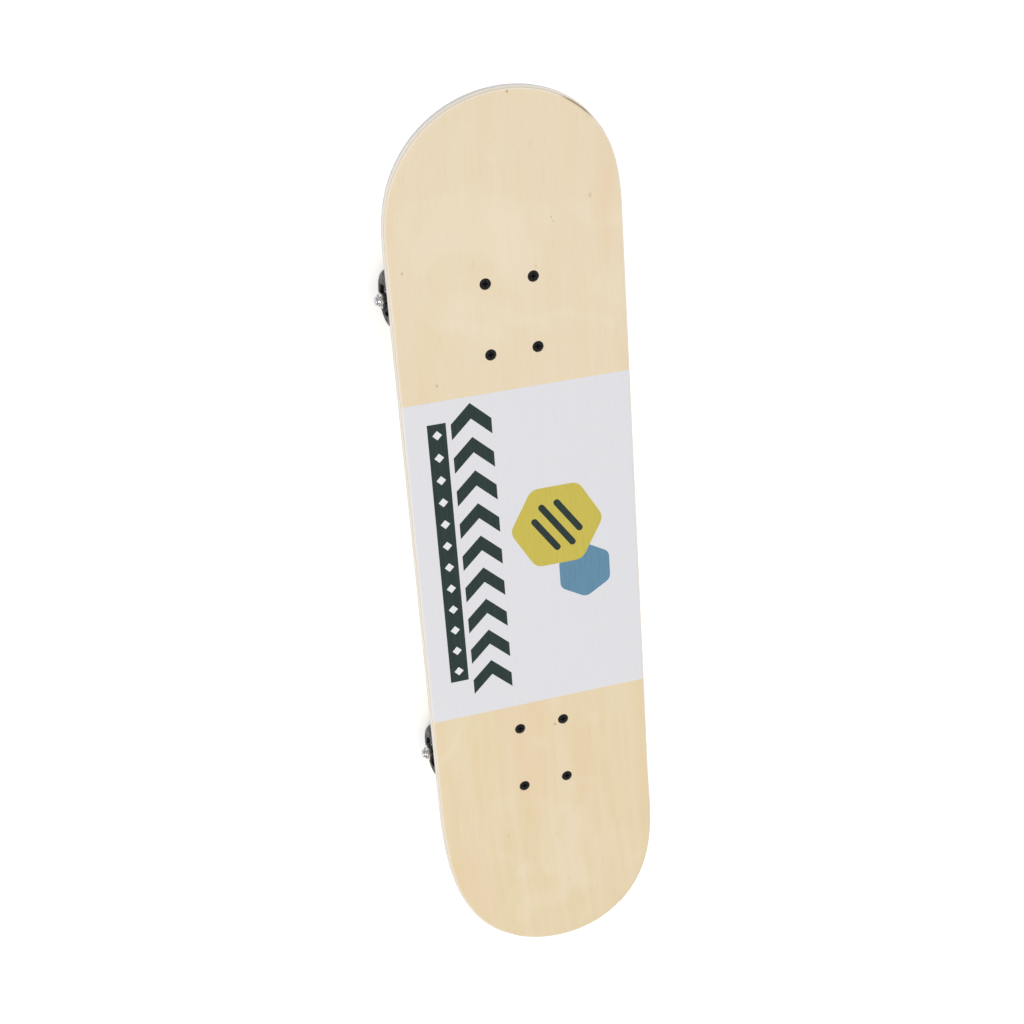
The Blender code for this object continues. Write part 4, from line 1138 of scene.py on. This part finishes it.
def build_truck(end, shared):
    """The pieces of one truck that are fixed to the deck, then the hanger and what turns on it."""
    truck = truck_place(end)
    upside_down = Matrix.Rotation(math.pi, 4, "X")
    for place, x, y in bolt_places():
        at = truck @ Matrix.Translation((x, y, DECK_THICKNESS))
        add(f"{end}_bolt_{place}", shared["bolt"], at, "deck", "black_steel", "black_steel")
        at = truck @ Matrix.Translation((x, y, -2 * GAP - PLATE_THICKNESS)) @ upside_down
        add(f"{end}_lock_nut_{place}", shared["lock_nut"], at, "deck", "black_steel")
    stack = truck @ tilted(RING_CENTRE, KINGPIN_TILT)
    add(f"{end}_baseplate", shared["baseplate"], truck, "deck", "cast_metal", "cast")
    add(f"{end}_pivot_cup", shared["cup"], truck @ tilted(PIVOT, PIVOT_TILT), "deck", "cup_urethane", "cup")
    add(f"{end}_kingpin", shared["kingpin"], stack, "deck", "zinc_steel", "zinc")
    at = stack @ Matrix.Translation((0, 0, -16.4 * MM)) @ upside_down
    add(f"{end}_kingpin_nut", shared["kingpin_nut"], at, "deck", "zinc_steel")
    for part in ("board_washer", "road_washer"):
        add(f"{end}_{part}", shared[part], stack, "deck", "zinc_steel")

    # each bushing sits between its washer, on the deck's side of the joint, and the hanger; its place is
    # baked into its own mesh and it goes on no body
    hanger = f"{end}_hanger"
    for part, held, pressed in (("board_bushing", 16.8, 3.8), ("road_bushing", -14.3, -3.8)):
        bushing = add(f"{end}_{part}", shared[part].copy(), stack, None, "bushing_urethane")
        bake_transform(bushing)
    add(hanger, shared["hanger"], truck, hanger, "cast_metal", "cast")
    axle = truck @ Matrix.Translation(AXLE_CENTRE) @ Matrix.Rotation(-math.pi / 2, 4, "X")
    add(f"{end}_axle", shared["axle"], axle, hanger, "zinc_steel", "zinc")
    for hand, side in (("left", 1), ("right", -1)):
        build_wheel(f"{end}_{hand}", side, hanger, shared)


def build_wheel(name, side, hanger, shared):
    """A wheel with its bearings, and the washers and nut that hold it on the axle."""
    outward = Matrix.Rotation(-math.pi / 2 * side, 4, "X")
    hub = Matrix.Translation(JOINTS[f"{name}_spin"]["pos_m"]) @ outward
    wheel = f"{name}_wheel"
    add(wheel, shared["wheel"], hub, wheel, "wheel_urethane", "wheel")
    for place, height in (("outer", 8.5 * MM), ("inner", -8.5 * MM)):
        at = hub @ Matrix.Translation((0, 0, height))
        add(f"{name}_{place}_bearing", shared["bearing"], at, wheel, "bearing_steel")
    at = hub @ Matrix.Translation((0, 0, 12.0 * MM + GAP))
    add(f"{name}_speed_washer", shared["washer"], at, hanger, "zinc_steel", "zinc")
    inner = link(f"{name}_inner_washer", shared["washer"], hub @ Matrix.Translation((0, 0, -13.05 * MM)))
    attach(inner, hanger)
    at = hub @ Matrix.Translation((0, 0, 13.5 * MM))
    add(f"{name}_axle_nut", shared["axle_nut"], at, hanger, "zinc_steel")


# ---- surroundings ----

def build_floor():
    """A large pale sweep that the board stands on."""
    bm = bmesh.new()
    bmesh.ops.create_grid(bm, x_segments=8, y_segments=8, size=6.0)
    floor = link("floor", mesh_of("floor", bm), Matrix.Translation((0, 0, -0.2 * MM)))
    look = Look("floor_paper", grey(0.93), roughness=0.9)
    tone = look.noise(3.0, 2.0, 0.5)
    look.drive("Base Color", look.mix(tone, grey(0.92), grey(0.94)))
    look.shader.inputs["Emission Color"].default_value = grey(1.0)
    look.shader.inputs["Emission Strength"].default_value = 0.30
    floor.data.materials.append(look.material)


def add_light(name, place, target, size, power):
    data = bpy.data.lights.new(name, "AREA")
    data.shape = "RECTANGLE"
    data.size, data.size_y = size
    data.energy = power
    lamp = bpy.data.objects.new(name, data)
    bpy.context.scene.collection.objects.link(lamp)
    lamp.location = place
    lamp.rotation_mode = "QUATERNION"
    lamp.rotation_quaternion = (Vector(target) - Vector(place)).to_track_quat("-Z", "Y")


def build_lights():
    """Two large softboxes, in a room that is pale at the horizon, dim just above it and pale overhead."""
    add_light("key_softbox", (-0.6, 1.9, 2.4), (0, 0, 0.05), (1.8, 1.4), 26.0)
    add_light("fill_softbox", (0.9, -2.0, 2.0), (0, 0, 0.05), (1.6, 1.2), 12.0)
    world = bpy.data.worlds.new("studio")
    world.use_nodes = True
    bpy.context.scene.world = world
    nodes, links = world.node_tree.nodes, world.node_tree.links
    split = nodes.new("ShaderNodeSeparateXYZ")
    links.new(nodes.new("ShaderNodeTexCoord").outputs["Generated"], split.inputs["Vector"])
    ramp = nodes.new("ShaderNodeValToRGB")
    stops = ramp.color_ramp.elements
    stops[0].position, stops[0].color = 0.04, grey(0.85)
    stops[1].position, stops[1].color = 0.50, grey(1.0)
    stops.new(0.14).color = grey(0.30)
    links.new(split.outputs["Z"], ramp.inputs["Fac"])
    links.new(ramp.outputs["Color"], nodes["Background"].inputs["Color"])
    nodes["Background"].inputs["Strength"].default_value = 0.95
    bpy.context.scene.view_settings.view_transform = "Standard"


def build_camera():
    """Above the board's left side, looking down along it from the nose end."""
    right = Vector(CAMERA_RIGHT).normalized()
    back = right.cross(Vector(CAMERA_UP)).normalized()
    up = back.cross(right)
    data = bpy.data.cameras.new("camera")
    data.sensor_width = 36.0
    data.lens = CAMERA_LENS
    data.clip_start = 0.05
    camera = bpy.data.objects.new("camera", data)
    bpy.context.scene.collection.objects.link(camera)
    turn = Matrix((right, up, back)).transposed().to_4x4()
    camera.matrix_world = Matrix.Translation(CAMERA_PLACE) @ turn
    bpy.context.scene.camera = camera


build_camera()
build_lights()
build_floor()
build_deck()
build_print()
SHARED = shared_meshes()
for END in ("front", "rear"):
    build_truck(END, SHARED)
